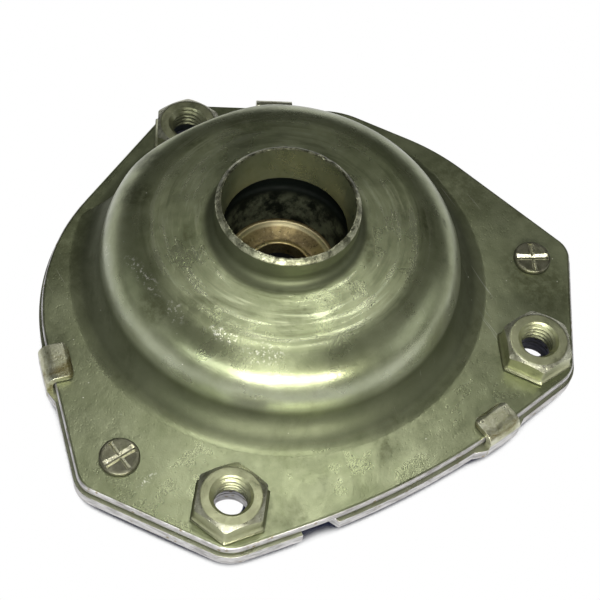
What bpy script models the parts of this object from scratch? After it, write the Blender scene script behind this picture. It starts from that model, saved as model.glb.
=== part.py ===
"""Strut mount: a pressed shell and a closing plate that hold a rubber-mounted core.

It rests on the closing plate's collar with its neck up. The neck's axis is Z, the outline is
mirrored about the plane x = 0, and the single nut stands behind the dome (+Y).
"""

from math import acos, atan, atan2, cos, exp, pi, sin, sqrt, tan

import bmesh
import bpy
from mathutils import Matrix, Vector

# Driving dimensions, in metres and radians
SHELL_SHEET = 0.0030
PLATE_SHEET = 0.0036
PLATE_MARGIN = 0.0008
COLLAR_DEPTH = 0.0030
SEAT_GAP = 0.0003

# The flange's outline, anticlockwise from behind: x, y and radius of each corner
BACK_CORNER = (0.0020, 0.0650, 0.0090)
LEFT_CORNERS = (
    (-0.0596, 0.0336, 0.0580),
    (-0.0768, -0.0317, 0.0070),
    (-0.0532, -0.0653, 0.0090),
)
FRONT_CORNER = (0.0, -0.0737, 0.2250)
RIGHT_CORNERS = (
    (0.0532, -0.0653, 0.0090),
    (0.0768, -0.0317, 0.0070),
    (0.0627, 0.0148, 0.0600),
    (0.0454, 0.0403, 0.0220),
)
SHELL_EDGE_ROUND = 0.0009
PLATE_EDGE_ROUND = 0.0005

# Dome and neck, measured on the outer skin above the flange's top face
DOME_WALL_RADIUS = 0.0487
DOME_FOOT_FILLET = 0.0070
DOME_SHOULDER_RADIUS = 0.0150
DOME_HEIGHT = 0.0214
DOME_CROWN_RISE = 0.0006
NECK_HEIGHT = 0.0311
NECK_OUTER_RADIUS = 0.0190
NECK_MOUTH_WALL = 0.0017
NECK_THROAT_STEP = 0.0009
NECK_ROOT_FILLET = 0.0026
RIM_LAND = 0.0006
RIM_SLOPE = 0.0013
RIM_BREAK = 0.0003
THROAT_EDGE_RADIUS = 0.0012
RELIEF_SOFTNESS = 0.0016

# Fasteners
NUT_ACROSS_FLATS = 0.0170
NUT_HEIGHT = 0.0062
NUT_CROWN_SETBACK = 0.0007
NUT_CHAMFER_SLOPE = 0.62
NUT_THREAD_RADIUS = 0.0044
NUT_MOUTH_RADIUS = 0.0055
NUT_WELD_LIP = 0.0008
BOLT_HOLE_RADIUS = 0.0052
SIDE_NUT_X = 0.0470
SIDE_NUT_Y = -0.0549
BACK_NUT_Y = 0.0522
LEFT_NUT_TURN = -0.145
RIGHT_NUT_TURN = 0.066
NUT_RELIEF = 0.0008
RIVET_X = 0.0646
RIVET_Y = -0.0300
RIVET_HEAD_RADIUS = 0.0052
RIVET_HEAD_HEIGHT = 0.0010
RIVET_HEAD_EDGE = 0.0004
RIVET_SHANK_RADIUS = 0.0034
RIVET_CROSS_WIDTH = 0.0015
RIVET_CROSS_DEPTH = 0.0006
LEFT_CROSS_TURN = 0.096
RIGHT_CROSS_TURN = -0.467

# Closing plate
PLATE_OPENING_RADIUS = 0.0270
COLLAR_SHEET = 0.0030
COLLAR_INNER_BEND = 0.0030
COLLAR_OUTER_BEND = 0.0015
COLLAR_EDGE = 0.0005
TAB_WIDTH = 0.0104
TAB_SHEET = 0.0020
TAB_REACH = 0.0053
TAB_CREST_RADIUS = 0.0034
TAB_FOOT_RADIUS = 0.0010
TAB_EDGE_CLEARANCE = 0.0004
TAB_TIP_EDGE = 0.0004
TAB_ROOT_LAP = 0.0030
TAB_ROOT_RISE = 0.0002
EAR_REACH = 0.0021
EAR_FLANK = 0.0030
FRONT_TAB_X = 0.0255
SIDE_TAB_Y = 0.0018
BACK_TAB_X = 0.0280
NOTCH_MIDDLE_X = -0.0290
NOTCH_LENGTH = 0.0100
NOTCH_DEPTH = 0.0030
NOTCH_SLOPE = 0.0020

# Rubber element and core, heights above the flange's top face
RUBBER_MOUTH_SETBACK = 0.0008
RUBBER_SEAT_RADIUS = 0.0152
RUBBER_TOP = 0.0143
RUBBER_CONTACT_RADIUS = 0.0235
RUBBER_EDGE_RADIUS = 0.0012
RUBBER_LIP_LAP = 0.0040
RUBBER_LIP_RISE = 0.0008
CORE_SHEET = 0.0030
CORE_TOP = 0.0027
CORE_RADIUS = 0.0370
CORE_EDGE = 0.0008
CORE_STEP_RADIUS = 0.0146
CORE_STEP_SLOPE = 0.0010
CORE_STEP_BREAK = 0.0009
CORE_FLOOR_RADIUS = 0.0106
CORE_FLOOR = 0.0002
SLEEVE_OUTER_RADIUS = 0.0094
SLEEVE_WALL = 0.0013
SLEEVE_EDGE = 0.0004
SLEEVE_PROUD = 0.0008
SLEEVE_BELOW = 0.0008

# How finely curves are divided
DOME_STEPS = 64
TURN_STEPS = 48
ROUND_STEPS = 32
OUTLINE_STEP = 0.20
MERGE = 0.00002
TOUCH = 0.00006
OVERRUN = 0.002
EDGE_BAND = 0.010

# Heights and radii worked out from the sheets: the collar's lower face is at zero
PLATE_BASE = COLLAR_DEPTH
PLATE_TOP = PLATE_BASE + PLATE_SHEET
FLANGE_BASE = PLATE_TOP + SEAT_GAP
FLANGE_TOP = FLANGE_BASE + SHELL_SHEET
DOME_FOOT_RADIUS = DOME_WALL_RADIUS + DOME_FOOT_FILLET
NECK_MOUTH_RADIUS = NECK_OUTER_RADIUS - NECK_MOUTH_WALL
NECK_THROAT_RADIUS = NECK_MOUTH_RADIUS - NECK_THROAT_STEP
RUBBER_MOUTH_RADIUS = NECK_THROAT_RADIUS + RUBBER_MOUTH_SETBACK
SLEEVE_BORE_RADIUS = SLEEVE_OUTER_RADIUS - SLEEVE_WALL

STEEL_OLIVE = ("shell_steel", (0.26, 0.28, 0.17, 1.0), 0.38, 0.85)
STEEL_PLATE = ("plate_steel", (0.33, 0.34, 0.27, 1.0), 0.40, 0.85)
STEEL_NUT = ("nut_steel", (0.30, 0.31, 0.20, 1.0), 0.35, 0.90)
STEEL_RIVET = ("rivet_steel", (0.32, 0.33, 0.22, 1.0), 0.35, 0.90)
ZINC_CORE = ("core_zinc", (0.40, 0.30, 0.14, 1.0), 0.42, 0.85)
ZINC_SLEEVE = ("sleeve_zinc", (0.52, 0.40, 0.18, 1.0), 0.35, 0.90)
BLACK_RUBBER = ("black_rubber", (0.02, 0.025, 0.02, 1.0), 0.75, 0.0)


def clear_scene():
    """Removes whatever the open file holds."""
    for item in list(bpy.data.objects):
        bpy.data.objects.remove(item, do_unlink=True)
    for group in list(bpy.data.collections):
        bpy.data.collections.remove(group)


def new_collection(name, hidden=False):
    group = bpy.data.collections.new(name)
    group.hide_render = hidden
    bpy.context.scene.collection.children.link(group)
    return group


def material(finish):
    """Returns the Principled material of a finish, made on first use."""
    name, colour, roughness, metallic = finish
    made = bpy.data.materials.get(name)
    if made is None:
        made = bpy.data.materials.new(name)
        made.use_nodes = True
        shader = made.node_tree.nodes["Principled BSDF"]
        shader.inputs["Base Color"].default_value = colour
        shader.inputs["Roughness"].default_value = roughness
        shader.inputs["Metallic"].default_value = metallic
    return made


def add_mesh_object(name, mesh, group, finish=None):
    item = bpy.data.objects.new(name, mesh)
    group.objects.link(item)
    if finish:
        mesh.materials.clear()
        mesh.materials.append(material(finish))
    mesh.shade_smooth()
    mesh.set_sharp_from_angle(angle=0.6)
    if group.hide_render:
        item.hide_render = True
        item.display_type = "WIRE"
    return item


def to_mesh_object(source, name, group, finish=None):
    """Turns a curve or a modified object into a plain mesh object in the same place."""
    bpy.context.view_layer.update()
    graph = bpy.context.evaluated_depsgraph_get()
    mesh = bpy.data.meshes.new_from_object(source.evaluated_get(graph))
    mesh.transform(source.matrix_world)
    bm = bmesh.new()
    bm.from_mesh(mesh)
    bmesh.ops.remove_doubles(bm, verts=bm.verts, dist=MERGE / 10)
    bm.to_mesh(mesh)
    bm.free()
    bpy.data.objects.remove(source, do_unlink=True)
    return add_mesh_object(name, mesh, group, finish)


def boolean(target, other, operation):
    modifier = target.modifiers.new(operation.lower() + "_" + other.name, "BOOLEAN")
    modifier.operation = operation
    modifier.solver = "EXACT"
    modifier.object = other


def round_edges(item, width):
    """Rounds the sharp edges of a flat sheet; the facets of its outline stay as they are."""
    bm = bmesh.new()
    bm.from_mesh(item.data)
    bmesh.ops.dissolve_limit(bm, angle_limit=0.001, verts=bm.verts, edges=bm.edges)
    bm.to_mesh(item.data)
    bm.free()
    modifier = item.modifiers.new("edge_round", "BEVEL")
    modifier.width = width
    modifier.segments = 2
    modifier.limit_method = "ANGLE"
    modifier.angle_limit = 1.2


def move(items, x, y):
    for item in items:
        item.data.transform(Matrix.Translation((x, y, 0.0)))


def arc(centre_x, centre_y, radius, start, end, steps):
    """Points along an arc, both ends included."""
    points = []
    for i in range(steps + 1):
        angle = start + (end - start) * i / steps
        points.append((centre_x + radius * cos(angle), centre_y + radius * sin(angle)))
    return points


def circle(centre_x, centre_y, radius, steps=ROUND_STEPS):
    return arc(centre_x, centre_y, radius, 0.0, 2 * pi, steps)[:-1]


def hexagon(across_flats, turn):
    return arc(0.0, 0.0, across_flats / sqrt(3), turn, turn + 2 * pi, 6)[:-1]


def turned(name, profile, group, steps=TURN_STEPS, finish=None):
    """Revolves a profile of (radius, height) points, listed top to bottom, about Z."""
    mesh = bpy.data.meshes.new(name + "_profile")
    points = [(radius, 0.0, height) for radius, height in profile]
    mesh.from_pydata(points, [(i, i + 1) for i in range(len(points) - 1)], [])
    item = bpy.data.objects.new(name + "_profile", mesh)
    group.objects.link(item)
    screw = item.modifiers.new("Screw", "SCREW")
    screw.axis = "Z"
    screw.steps = steps
    screw.render_steps = steps
    screw.use_merge_vertices = True
    screw.merge_threshold = MERGE
    return to_mesh_object(item, name, group, finish)


def closed_profile(profile):
    """Closes a profile that doesn't touch the axis."""
    return profile + profile[:1]


def flat_sheet(name, loops, low, high, group, finish=None):
    """A flat sheet between two heights; loops inside another are its holes."""
    curve = bpy.data.curves.new(name + "_outline", "CURVE")
    curve.dimensions = "2D"
    curve.fill_mode = "BOTH"
    curve.extrude = (high - low) / 2
    for loop in loops:
        spline = curve.splines.new("POLY")
        spline.points.add(len(loop) - 1)
        for point, (x, y) in zip(spline.points, loop):
            point.co = (x, y, 0.0, 1.0)
        spline.use_cyclic_u = True
    item = bpy.data.objects.new(name + "_outline", curve)
    item.location.z = (low + high) / 2
    group.objects.link(item)
    return to_mesh_object(item, name, group, finish)


def corner_frame(corners, i):
    """A corner's place, its unit directions to both neighbours and the angle between them."""
    here = Vector(corners[i][:2])
    before = (Vector(corners[i - 1][:2]) - here).normalized()
    after = (Vector(corners[(i + 1) % len(corners)][:2]) - here).normalized()
    return here, before, after, acos(max(-1.0, min(1.0, before.dot(after))))


def rounded_outline(corners, step=OUTLINE_STEP):
    """Replaces each corner of a convex outline, given as x, y, radius, by an arc."""
    points = []
    for i, (_, _, radius) in enumerate(corners):
        here, before, after, opening = corner_frame(corners, i)
        turn = pi - opening
        centre = here + (before + after).normalized() * radius / sin(opening / 2)
        first = here + before * radius / tan(opening / 2) - centre
        start = atan2(first.y, first.x)
        steps = max(2, round(turn / step * (1 + radius / 0.02)))
        points += arc(centre.x, centre.y, radius, start, start + turn, steps)
    return points


def grown(corners, amount):
    """The same corners for an outline that stands outside by an amount."""
    result = []
    for i, (_, _, radius) in enumerate(corners):
        here, before, after, opening = corner_frame(corners, i)
        place = here - (before + after).normalized() * amount / sin(opening / 2)
        result.append((place.x, place.y, radius + amount))
    return result


def spliced(points, place, normal, detail):
    """Puts a detail into an outline; it is drawn along and outwards from a place on the edge."""
    along = Vector((-normal.y, normal.x))
    first, last = detail[0][0], detail[-1][0]
    offsets = [Vector(point) - place for point in points]
    near = [abs(offset.dot(normal)) < EDGE_BAND for offset in offsets]
    ahead = [offset.dot(along) for offset in offsets]
    before = max((a, i) for i, a in enumerate(ahead) if near[i] and a <= first)[1]
    result = []
    for i, point in enumerate(points):
        if not (near[i] and first < ahead[i] < last):
            result.append(point)
        if i == before:
            result += [tuple(place + along * a + normal * out) for a, out in detail]
    return result


def flange_corners():
    """All corners of the flange, anticlockwise from the one behind the dome."""
    return [BACK_CORNER, *LEFT_CORNERS, FRONT_CORNER, *RIGHT_CORNERS]


def front_edge(x):
    """The place on the flange's bowed front edge at an x, and the edge's outward normal."""
    radius = FRONT_CORNER[2]
    slope = atan((RIGHT_CORNERS[0][1] - FRONT_CORNER[1]) / RIGHT_CORNERS[0][0])
    centre_y = FRONT_CORNER[1] + radius / cos(slope)
    normal = Vector((x / radius, -sqrt(1 - (x / radius) ** 2)))
    return Vector((0.0, centre_y)) + normal * radius, normal


def straight_edge(corner_a, corner_b, share):
    """The place at a share of the way from one corner to the next, and the outward normal."""
    a, b = Vector(corner_a[:2]), Vector(corner_b[:2])
    along = (b - a).normalized()
    return a + (b - a) * share, Vector((along.y, -along.x))


def tab_places():
    """Each tab's place on the flange's edge, outward normal and reach over the flange."""
    corners = flange_corners()
    share = (corners[1][1] - SIDE_TAB_Y) / (corners[1][1] - corners[2][1])
    side = straight_edge(corners[1], corners[2], share)
    share = (corners[-1][0] - BACK_TAB_X) / (corners[-1][0] - corners[0][0])
    back = straight_edge(corners[-1], corners[0], share)
    back_room = back[0].dot(back[1]) - DOME_FOOT_RADIUS
    back_reach = min(TAB_REACH, back_room + SEAT_GAP)
    return {
        "front": (*front_edge(FRONT_TAB_X), TAB_REACH),
        "side": (*side, TAB_REACH),
        "back": (*back, back_reach),
    }


def bolt_places():
    """x, y and turn of the three nuts; the back one has a flat towards the dome."""
    return {
        "weld_nut_left": (-SIDE_NUT_X, SIDE_NUT_Y, LEFT_NUT_TURN),
        "weld_nut_right": (SIDE_NUT_X, SIDE_NUT_Y, RIGHT_NUT_TURN),
        "weld_nut_back": (0.0, BACK_NUT_Y, 0.0),
    }


def rivet_places():
    """x, y and the turn of the staked cross of the two rivets."""
    return {
        "staked_rivet_left": (-RIVET_X, RIVET_Y, LEFT_CROSS_TURN),
        "staked_rivet_right": (RIVET_X, RIVET_Y, RIGHT_CROSS_TURN),
    }


def cut_fastener_holes(item, cutters):
    """Cuts the bolt holes and the rivet holes through a sheet."""
    loops = [circle(x, y, BOLT_HOLE_RADIUS) for x, y, _ in bolt_places().values()]
    shank_hole = RIVET_SHANK_RADIUS + SEAT_GAP
    loops += [circle(x, y, shank_hole, 24) for x, y, _ in rivet_places().values()]
    high = FLANGE_TOP + OVERRUN
    holes = flat_sheet(item.name + "_holes", loops, -OVERRUN, high, cutters)
    boolean(item, holes, "DIFFERENCE")


def relief_depth():
    """How far back the dome stands flat to clear the back nut."""
    return BACK_NUT_Y - NUT_ACROSS_FLATS / 2 - NUT_WELD_LIP - NUT_RELIEF


def press_flat(item, limit):
    """Presses what lies behind a plane into a softly rounded flat."""
    soft = RELIEF_SOFTNESS
    for vertex in item.data.vertices:
        over = vertex.co.y - (limit - soft)
        if over > 0:
            vertex.co.y = limit - soft * exp(-over / soft)


def shoulder_centre():
    radius = DOME_WALL_RADIUS - DOME_SHOULDER_RADIUS
    return radius, FLANGE_TOP + DOME_HEIGHT - DOME_SHOULDER_RADIUS


def foot_centre():
    """The foot fillet's centre, a hair low so that its arc cuts the flange at an angle."""
    return DOME_FOOT_RADIUS, FLANGE_TOP + DOME_FOOT_FILLET - TOUCH


def dome_skin():
    """The outer skin of neck, dome and foot, from the rim down to inside the flange."""
    top = FLANGE_TOP + NECK_HEIGHT
    crown = FLANGE_TOP + DOME_HEIGHT + DOME_CROWN_RISE
    root_x = NECK_OUTER_RADIUS + NECK_ROOT_FILLET
    inside = FLANGE_BASE + SHELL_SHEET / 2
    points = [(0.0, top), (NECK_MOUTH_RADIUS + RIM_LAND, top)]
    points += [(NECK_OUTER_RADIUS - RIM_BREAK, top - RIM_SLOPE * 0.6)]
    points += [(NECK_OUTER_RADIUS, top - RIM_SLOPE)]
    points += arc(root_x, crown + NECK_ROOT_FILLET, NECK_ROOT_FILLET, pi, 1.5 * pi, 3)
    points += arc(*shoulder_centre(), DOME_SHOULDER_RADIUS, pi / 2, 0.0, 8)
    points += arc(*foot_centre(), DOME_FOOT_FILLET, pi, 1.5 * pi, 5)
    points += [(DOME_FOOT_RADIUS, inside), (0.0, inside)]
    return points


def dome_hollow():
    """The inner skin, one sheet inside the outer one, from above the rim to below the flange."""
    top = FLANGE_TOP + NECK_HEIGHT
    ceiling = FLANGE_TOP + DOME_HEIGHT + DOME_CROWN_RISE - SHELL_SHEET
    edge_x = NECK_THROAT_RADIUS + THROAT_EDGE_RADIUS
    points = [(0.0, top + OVERRUN), (NECK_MOUTH_RADIUS, top + OVERRUN), (NECK_MOUTH_RADIUS, top)]
    points += arc(edge_x, ceiling + THROAT_EDGE_RADIUS, THROAT_EDGE_RADIUS, pi, 1.5 * pi, 2)
    points += arc(*shoulder_centre(), DOME_SHOULDER_RADIUS - SHELL_SHEET, pi / 2, 0.0, 5)
    points += arc(*foot_centre(), DOME_FOOT_FILLET + SHELL_SHEET, pi, 1.5 * pi, 4)
    points += [(DOME_FOOT_RADIUS, FLANGE_BASE - OVERRUN), (0.0, FLANGE_BASE - OVERRUN)]
    return points


def build_shell(parts, cutters):
    """The upper shell: flange, dome and neck pressed from one sheet."""
    outline = rounded_outline(flange_corners())
    shell = flat_sheet("upper_shell", [outline], FLANGE_BASE, FLANGE_TOP, parts, STEEL_OLIVE)
    round_edges(shell, SHELL_EDGE_ROUND)
    skin = turned("dome_skin", dome_skin(), cutters, DOME_STEPS)
    hollow = turned("dome_hollow", dome_hollow(), cutters, DOME_STEPS)
    press_flat(skin, relief_depth())
    press_flat(hollow, relief_depth() - SHELL_SHEET)
    boolean(shell, skin, "UNION")
    boolean(shell, hollow, "DIFFERENCE")
    cut_fastener_holes(shell, cutters)


def ear_detail():
    """A tab's widened root: it leaves the plate's edge on two slanted flanks."""
    half = TAB_WIDTH / 2 + TAB_EDGE_CLEARANCE
    wide = half + EAR_FLANK
    return [(-wide, PLATE_MARGIN), (-half, EAR_REACH), (half, EAR_REACH), (wide, PLATE_MARGIN)]


def notch_detail():
    """The edge notch: one square end and one slanted end."""
    half = NOTCH_LENGTH / 2
    floor = PLATE_MARGIN - NOTCH_DEPTH
    lip = PLATE_MARGIN
    return [(-half, lip), (-half, floor), (half - NOTCH_SLOPE, floor), (half, lip)]


def plate_outline():
    """The closing plate's outline with the tabs' ears and the notch."""
    points = rounded_outline(grown(flange_corners(), PLATE_MARGIN))
    for place, normal, _ in tab_places().values():
        points = spliced(points, place, normal, ear_detail())
    return spliced(points, *front_edge(NOTCH_MIDDLE_X), notch_detail())


def collar_block():
    """The solid from which the collar is bored, with the bend under the plate."""
    outer = PLATE_OPENING_RADIUS + COLLAR_SHEET
    bend = COLLAR_OUTER_BEND
    edge = COLLAR_EDGE
    points =[(0.0, PLATE_TOP - PLATE_SHEET / 3), (outer + bend, PLATE_TOP - PLATE_SHEET / 3)]
    points += arc(outer + bend, PLATE_BASE - bend + TOUCH, bend, pi / 2, pi, 3)
    points += [(outer, edge), (outer - edge, 0.0), (0.0, 0.0)]
    return points


def collar_bore():
    """The plate's opening, widened upwards where the sheet bends down into the collar."""
    bend = COLLAR_INNER_BEND
    wide = PLATE_OPENING_RADIUS + bend
    high = PLATE_TOP + OVERRUN
    points = [(0.0, high), (wide, high)]
    points += arc(wide, PLATE_TOP - bend + TOUCH, bend, pi / 2, pi, 4)
    points += [(PLATE_OPENING_RADIUS, -OVERRUN), (0.0, -OVERRUN)]
    return points


def tab_section(reach):
    """The folded strip in its own plane: distance outwards from the flange's edge, and height."""
    inner = TAB_EDGE_CLEARANCE
    outer = inner + TAB_SHEET
    low = FLANGE_TOP + SEAT_GAP
    high = low + TAB_SHEET
    root = PLATE_BASE + TAB_ROOT_RISE
    middle = PLATE_BASE + PLATE_SHEET * 0.7
    crest, foot = TAB_CREST_RADIUS, TAB_FOOT_RADIUS
    fold = max(SHELL_EDGE_ROUND, crest - TAB_SHEET)
    tip = TAB_TIP_EDGE
    points = [(-TAB_ROOT_LAP, root), (outer - foot, root)]
    points += arc(outer - foot, root + foot, foot, -pi / 2, 0.0, 3)[1:]
    points += arc(outer - crest, high - crest, crest, 0.0, pi / 2, 6)
    if reach > crest - outer:
        points += [(tip - reach, high)]
    points += [(-reach, high - tip), (-reach, low)]
    points += arc(inner - fold, low - fold, fold, pi / 2, 0.0, 4)
    points += [(inner, middle), (-TAB_ROOT_LAP, middle)]
    return points


def build_tab(name, place, normal, reach, group):
    """One strip, turned so that its section stands across the flange's edge."""
    half = TAB_WIDTH / 2
    tab = flat_sheet(name, [tab_section(reach)], -half, half, group)
    frame = Matrix.Identity(4)
    frame.col[0] = (normal.x, normal.y, 0.0, 0.0)
    frame.col[1] = (0.0, 0.0, 1.0, 0.0)
    frame.col[2] = (normal.y, -normal.x, 0.0, 0.0)
    frame.col[3] = (place.x, place.y, 0.0, 1.0)
    tab.data.transform(frame)
    return tab


def build_closing_plate(parts, cutters):
    """The closing plate under the flange, its collar, and its tabs folded over the flange."""
    plate = flat_sheet("closing_plate", [plate_outline()], PLATE_BASE, PLATE_TOP, parts, STEEL_PLATE)
    round_edges(plate, PLATE_EDGE_ROUND)
    for name, place in tab_places().items():
        boolean(plate, build_tab(name + "_tab", *place, cutters), "UNION")
    boolean(plate, turned("collar_block", collar_block(), cutters), "UNION")
    boolean(plate, turned("collar_bore", collar_bore(), cutters), "DIFFERENCE")
    cut_fastener_holes(plate, cutters)


def nut_cap():
    """What the chamfered top leaves of a nut."""
    low = FLANGE_TOP
    high = FLANGE_TOP + SEAT_GAP + NUT_HEIGHT
    crown = NUT_ACROSS_FLATS / 2 - NUT_CROWN_SETBACK
    wide = NUT_ACROSS_FLATS / sqrt(3) + 2 * NUT_WELD_LIP
    drop = (wide - crown) * NUT_CHAMFER_SLOPE
    return [(0.0, high + OVERRUN), (crown, high), (wide, high - drop),
            (wide, low - OVERRUN), (0.0, low - OVERRUN)]


def nut_bore():
    """The nut's bore with its countersunk mouth."""
    high = FLANGE_TOP + SEAT_GAP + NUT_HEIGHT
    slope = NUT_MOUTH_RADIUS - NUT_THREAD_RADIUS
    return [(0.0, high + OVERRUN), (NUT_MOUTH_RADIUS + OVERRUN, high + OVERRUN),
            (NUT_THREAD_RADIUS, high - slope), (NUT_THREAD_RADIUS, FLANGE_TOP - OVERRUN),
            (0.0, FLANGE_TOP - OVERRUN)]


def build_nut(name, x, y, turn, parts, cutters):
    """A hexagon weld nut with chamfered corners, a countersunk bore and a weld lip."""
    low = FLANGE_TOP + SEAT_GAP
    body, seat = hexagon(NUT_ACROSS_FLATS, turn), hexagon(NUT_ACROSS_FLATS + 2 * NUT_WELD_LIP, turn)
    nut = flat_sheet(name, [body], low, low + NUT_HEIGHT, parts, STEEL_NUT)
    lip = flat_sheet(name + "_lip", [seat], low, low + NUT_WELD_LIP, cutters)
    cap = turned(name + "_cap", nut_cap(), cutters)
    bore = turned(name + "_bore", nut_bore(), cutters, ROUND_STEPS)
    boolean(nut, lip, "UNION")
    boolean(nut, cap, "INTERSECT")
    boolean(nut, bore, "DIFFERENCE")
    move((nut, lip, cap, bore), x, y)


def build_rivet(name, x, y, cross_turn, parts, cutters):
    """A rivet whose head is staked with a cross; its shank passes both sheets."""
    low = FLANGE_TOP + SEAT_GAP
    high = low + RIVET_HEAD_HEIGHT
    edge = RIVET_HEAD_EDGE
    profile = [(0.0, high), (RIVET_HEAD_RADIUS - edge, high), (RIVET_HEAD_RADIUS, high - edge)]
    profile += [(RIVET_HEAD_RADIUS, low), (RIVET_SHANK_RADIUS, low)]
    profile += [(RIVET_SHANK_RADIUS, PLATE_BASE), (0.0, PLATE_BASE)]
    rivet = turned(name, profile, parts, ROUND_STEPS, STEEL_RIVET)
    reach, half = RIVET_HEAD_RADIUS - 2 * edge, RIVET_CROSS_WIDTH / 2
    bar = [Vector(corner) for corner in ((-reach, -half), (reach, -half), (reach, half), (-reach, half))]
    arms = []
    for turn in (cross_turn, cross_turn + pi / 2):
        loop = [tuple(Matrix.Rotation(turn, 2) @ corner) for corner in bar]
        depth = high - RIVET_CROSS_DEPTH
        arms.append(flat_sheet(f"{name}_arm_{len(arms)}", [loop], depth, high + OVERRUN, cutters))
        boolean(rivet, arms[-1], "DIFFERENCE")
    move((rivet, *arms), x, y)


def rubber_section():
    """The rubber's section: it fills the dome round the core and grips the core's rim."""
    gap = SEAT_GAP
    ceiling = FLANGE_TOP + DOME_HEIGHT - SHELL_SHEET - gap
    inner_wall = DOME_WALL_RADIUS - SHELL_SHEET - gap
    edge = RUBBER_EDGE_RADIUS
    top = FLANGE_TOP + RUBBER_TOP
    core_top = FLANGE_TOP + CORE_TOP
    core_base = core_top - CORE_SHEET
    shoulder = DOME_SHOULDER_RADIUS - SHELL_SHEET - gap
    lip = PLATE_OPENING_RADIUS - RUBBER_LIP_LAP
    points = arc(RUBBER_MOUTH_RADIUS + edge, top - edge, edge, pi, pi / 2, 3)
    points += [(RUBBER_CONTACT_RADIUS - (ceiling - top) * 0.6, top), (RUBBER_CONTACT_RADIUS, ceiling)]
    points += arc(*shoulder_centre(), shoulder, pi / 2, 0.0, 5)
    points += [(inner_wall, PLATE_TOP + gap), (PLATE_OPENING_RADIUS, PLATE_TOP + gap)]
    points += [(lip, PLATE_TOP + gap + RUBBER_LIP_RISE), (lip, core_base - gap)]
    points += [(CORE_RADIUS + gap, core_base - gap), (CORE_RADIUS + gap, core_top + gap)]
    points += [(RUBBER_SEAT_RADIUS, core_top + gap)]
    return points


def build_rubber(parts):
    section = closed_profile(rubber_section())
    item = turned("rubber_element", section, parts, DOME_STEPS, BLACK_RUBBER)
    press_flat(item, relief_depth() - SHELL_SHEET - 2 * SEAT_GAP)


def build_core(parts):
    """The pressed core that the rubber carries, with its dished floor round the rod hole."""
    top = FLANGE_TOP + CORE_TOP
    floor = FLANGE_TOP + CORE_FLOOR
    hole = SLEEVE_OUTER_RADIUS + SEAT_GAP
    edge, slope = CORE_EDGE, CORE_STEP_SLOPE
    skin = [(hole, floor), (CORE_FLOOR_RADIUS, floor)]
    skin += [(CORE_STEP_RADIUS - slope, top - CORE_STEP_BREAK)]
    skin += arc(CORE_STEP_RADIUS + edge / 4, top - edge, edge, 0.75 * pi, 0.5 * pi, 2)
    skin += [(CORE_RADIUS - edge, top), (CORE_RADIUS, top - edge)]
    under = [(CORE_RADIUS, top - CORE_SHEET), (CORE_STEP_RADIUS + slope, top - CORE_SHEET)]
    under += [(CORE_FLOOR_RADIUS + slope, floor - CORE_SHEET), (hole, floor - CORE_SHEET)]
    turned("core_plate", closed_profile(skin + under), parts, TURN_STEPS, ZINC_CORE)


def build_sleeve(parts):
    """The spacer sleeve through the core for the damper rod."""
    floor = FLANGE_TOP + CORE_FLOOR
    top = floor + SLEEVE_PROUD
    low = floor - CORE_SHEET - SLEEVE_BELOW
    edge = SLEEVE_EDGE
    profile = [(SLEEVE_BORE_RADIUS, top - edge), (SLEEVE_BORE_RADIUS + edge, top)]
    profile += [(SLEEVE_OUTER_RADIUS - edge, top), (SLEEVE_OUTER_RADIUS, top - edge)]
    profile += [(SLEEVE_OUTER_RADIUS, low), (SLEEVE_BORE_RADIUS, low)]
    turned("spacer_sleeve", closed_profile(profile), parts, TURN_STEPS, ZINC_SLEEVE)


def centre_plan(parts, cutters):
    """Moves the whole assembly so that its plan is centred on the origin."""
    bpy.context.view_layer.update()
    graph = bpy.context.evaluated_depsgraph_get()
    corners = []
    for item in parts.objects:
        corners += [Vector(corner) for corner in item.evaluated_get(graph).bound_box]
    x = -(min(c.x for c in corners) + max(c.x for c in corners)) / 2
    y = -(min(c.y for c in corners) + max(c.y for c in corners)) / 2
    move([*parts.objects, *cutters.objects], x, y)


def main():
    clear_scene()
    parts = new_collection("strut_mount")
    cutters = new_collection("cutters", hidden=True)
    build_shell(parts, cutters)
    build_closing_plate(parts, cutters)
    for name, (x, y, turn) in bolt_places().items():
        build_nut(name, x, y, turn, parts, cutters)
    for name, (x, y, cross_turn) in rivet_places().items():
        build_rivet(name, x, y, cross_turn, parts, cutters)
    build_rubber(parts)
    build_core(parts)
    build_sleeve(parts)
    centre_plan(parts, cutters)


main()
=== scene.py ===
"""A strut mount, dressed for its picture: pressed shell, closing plate, weld nuts, staked rivets
and the rubber-mounted core, in plated steel on a white floor.

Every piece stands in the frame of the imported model: it rests on the closing plate's collar with
its neck up, and the single nut stands behind the dome (+Y).
"""

import logging
from dataclasses import dataclass, field
from enum import Enum
from math import acos, asin, atan, atan2, cos, exp, hypot, pi, radians, sin, sqrt, tan

import bpy
from mathutils import Matrix, Vector, noise

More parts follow.
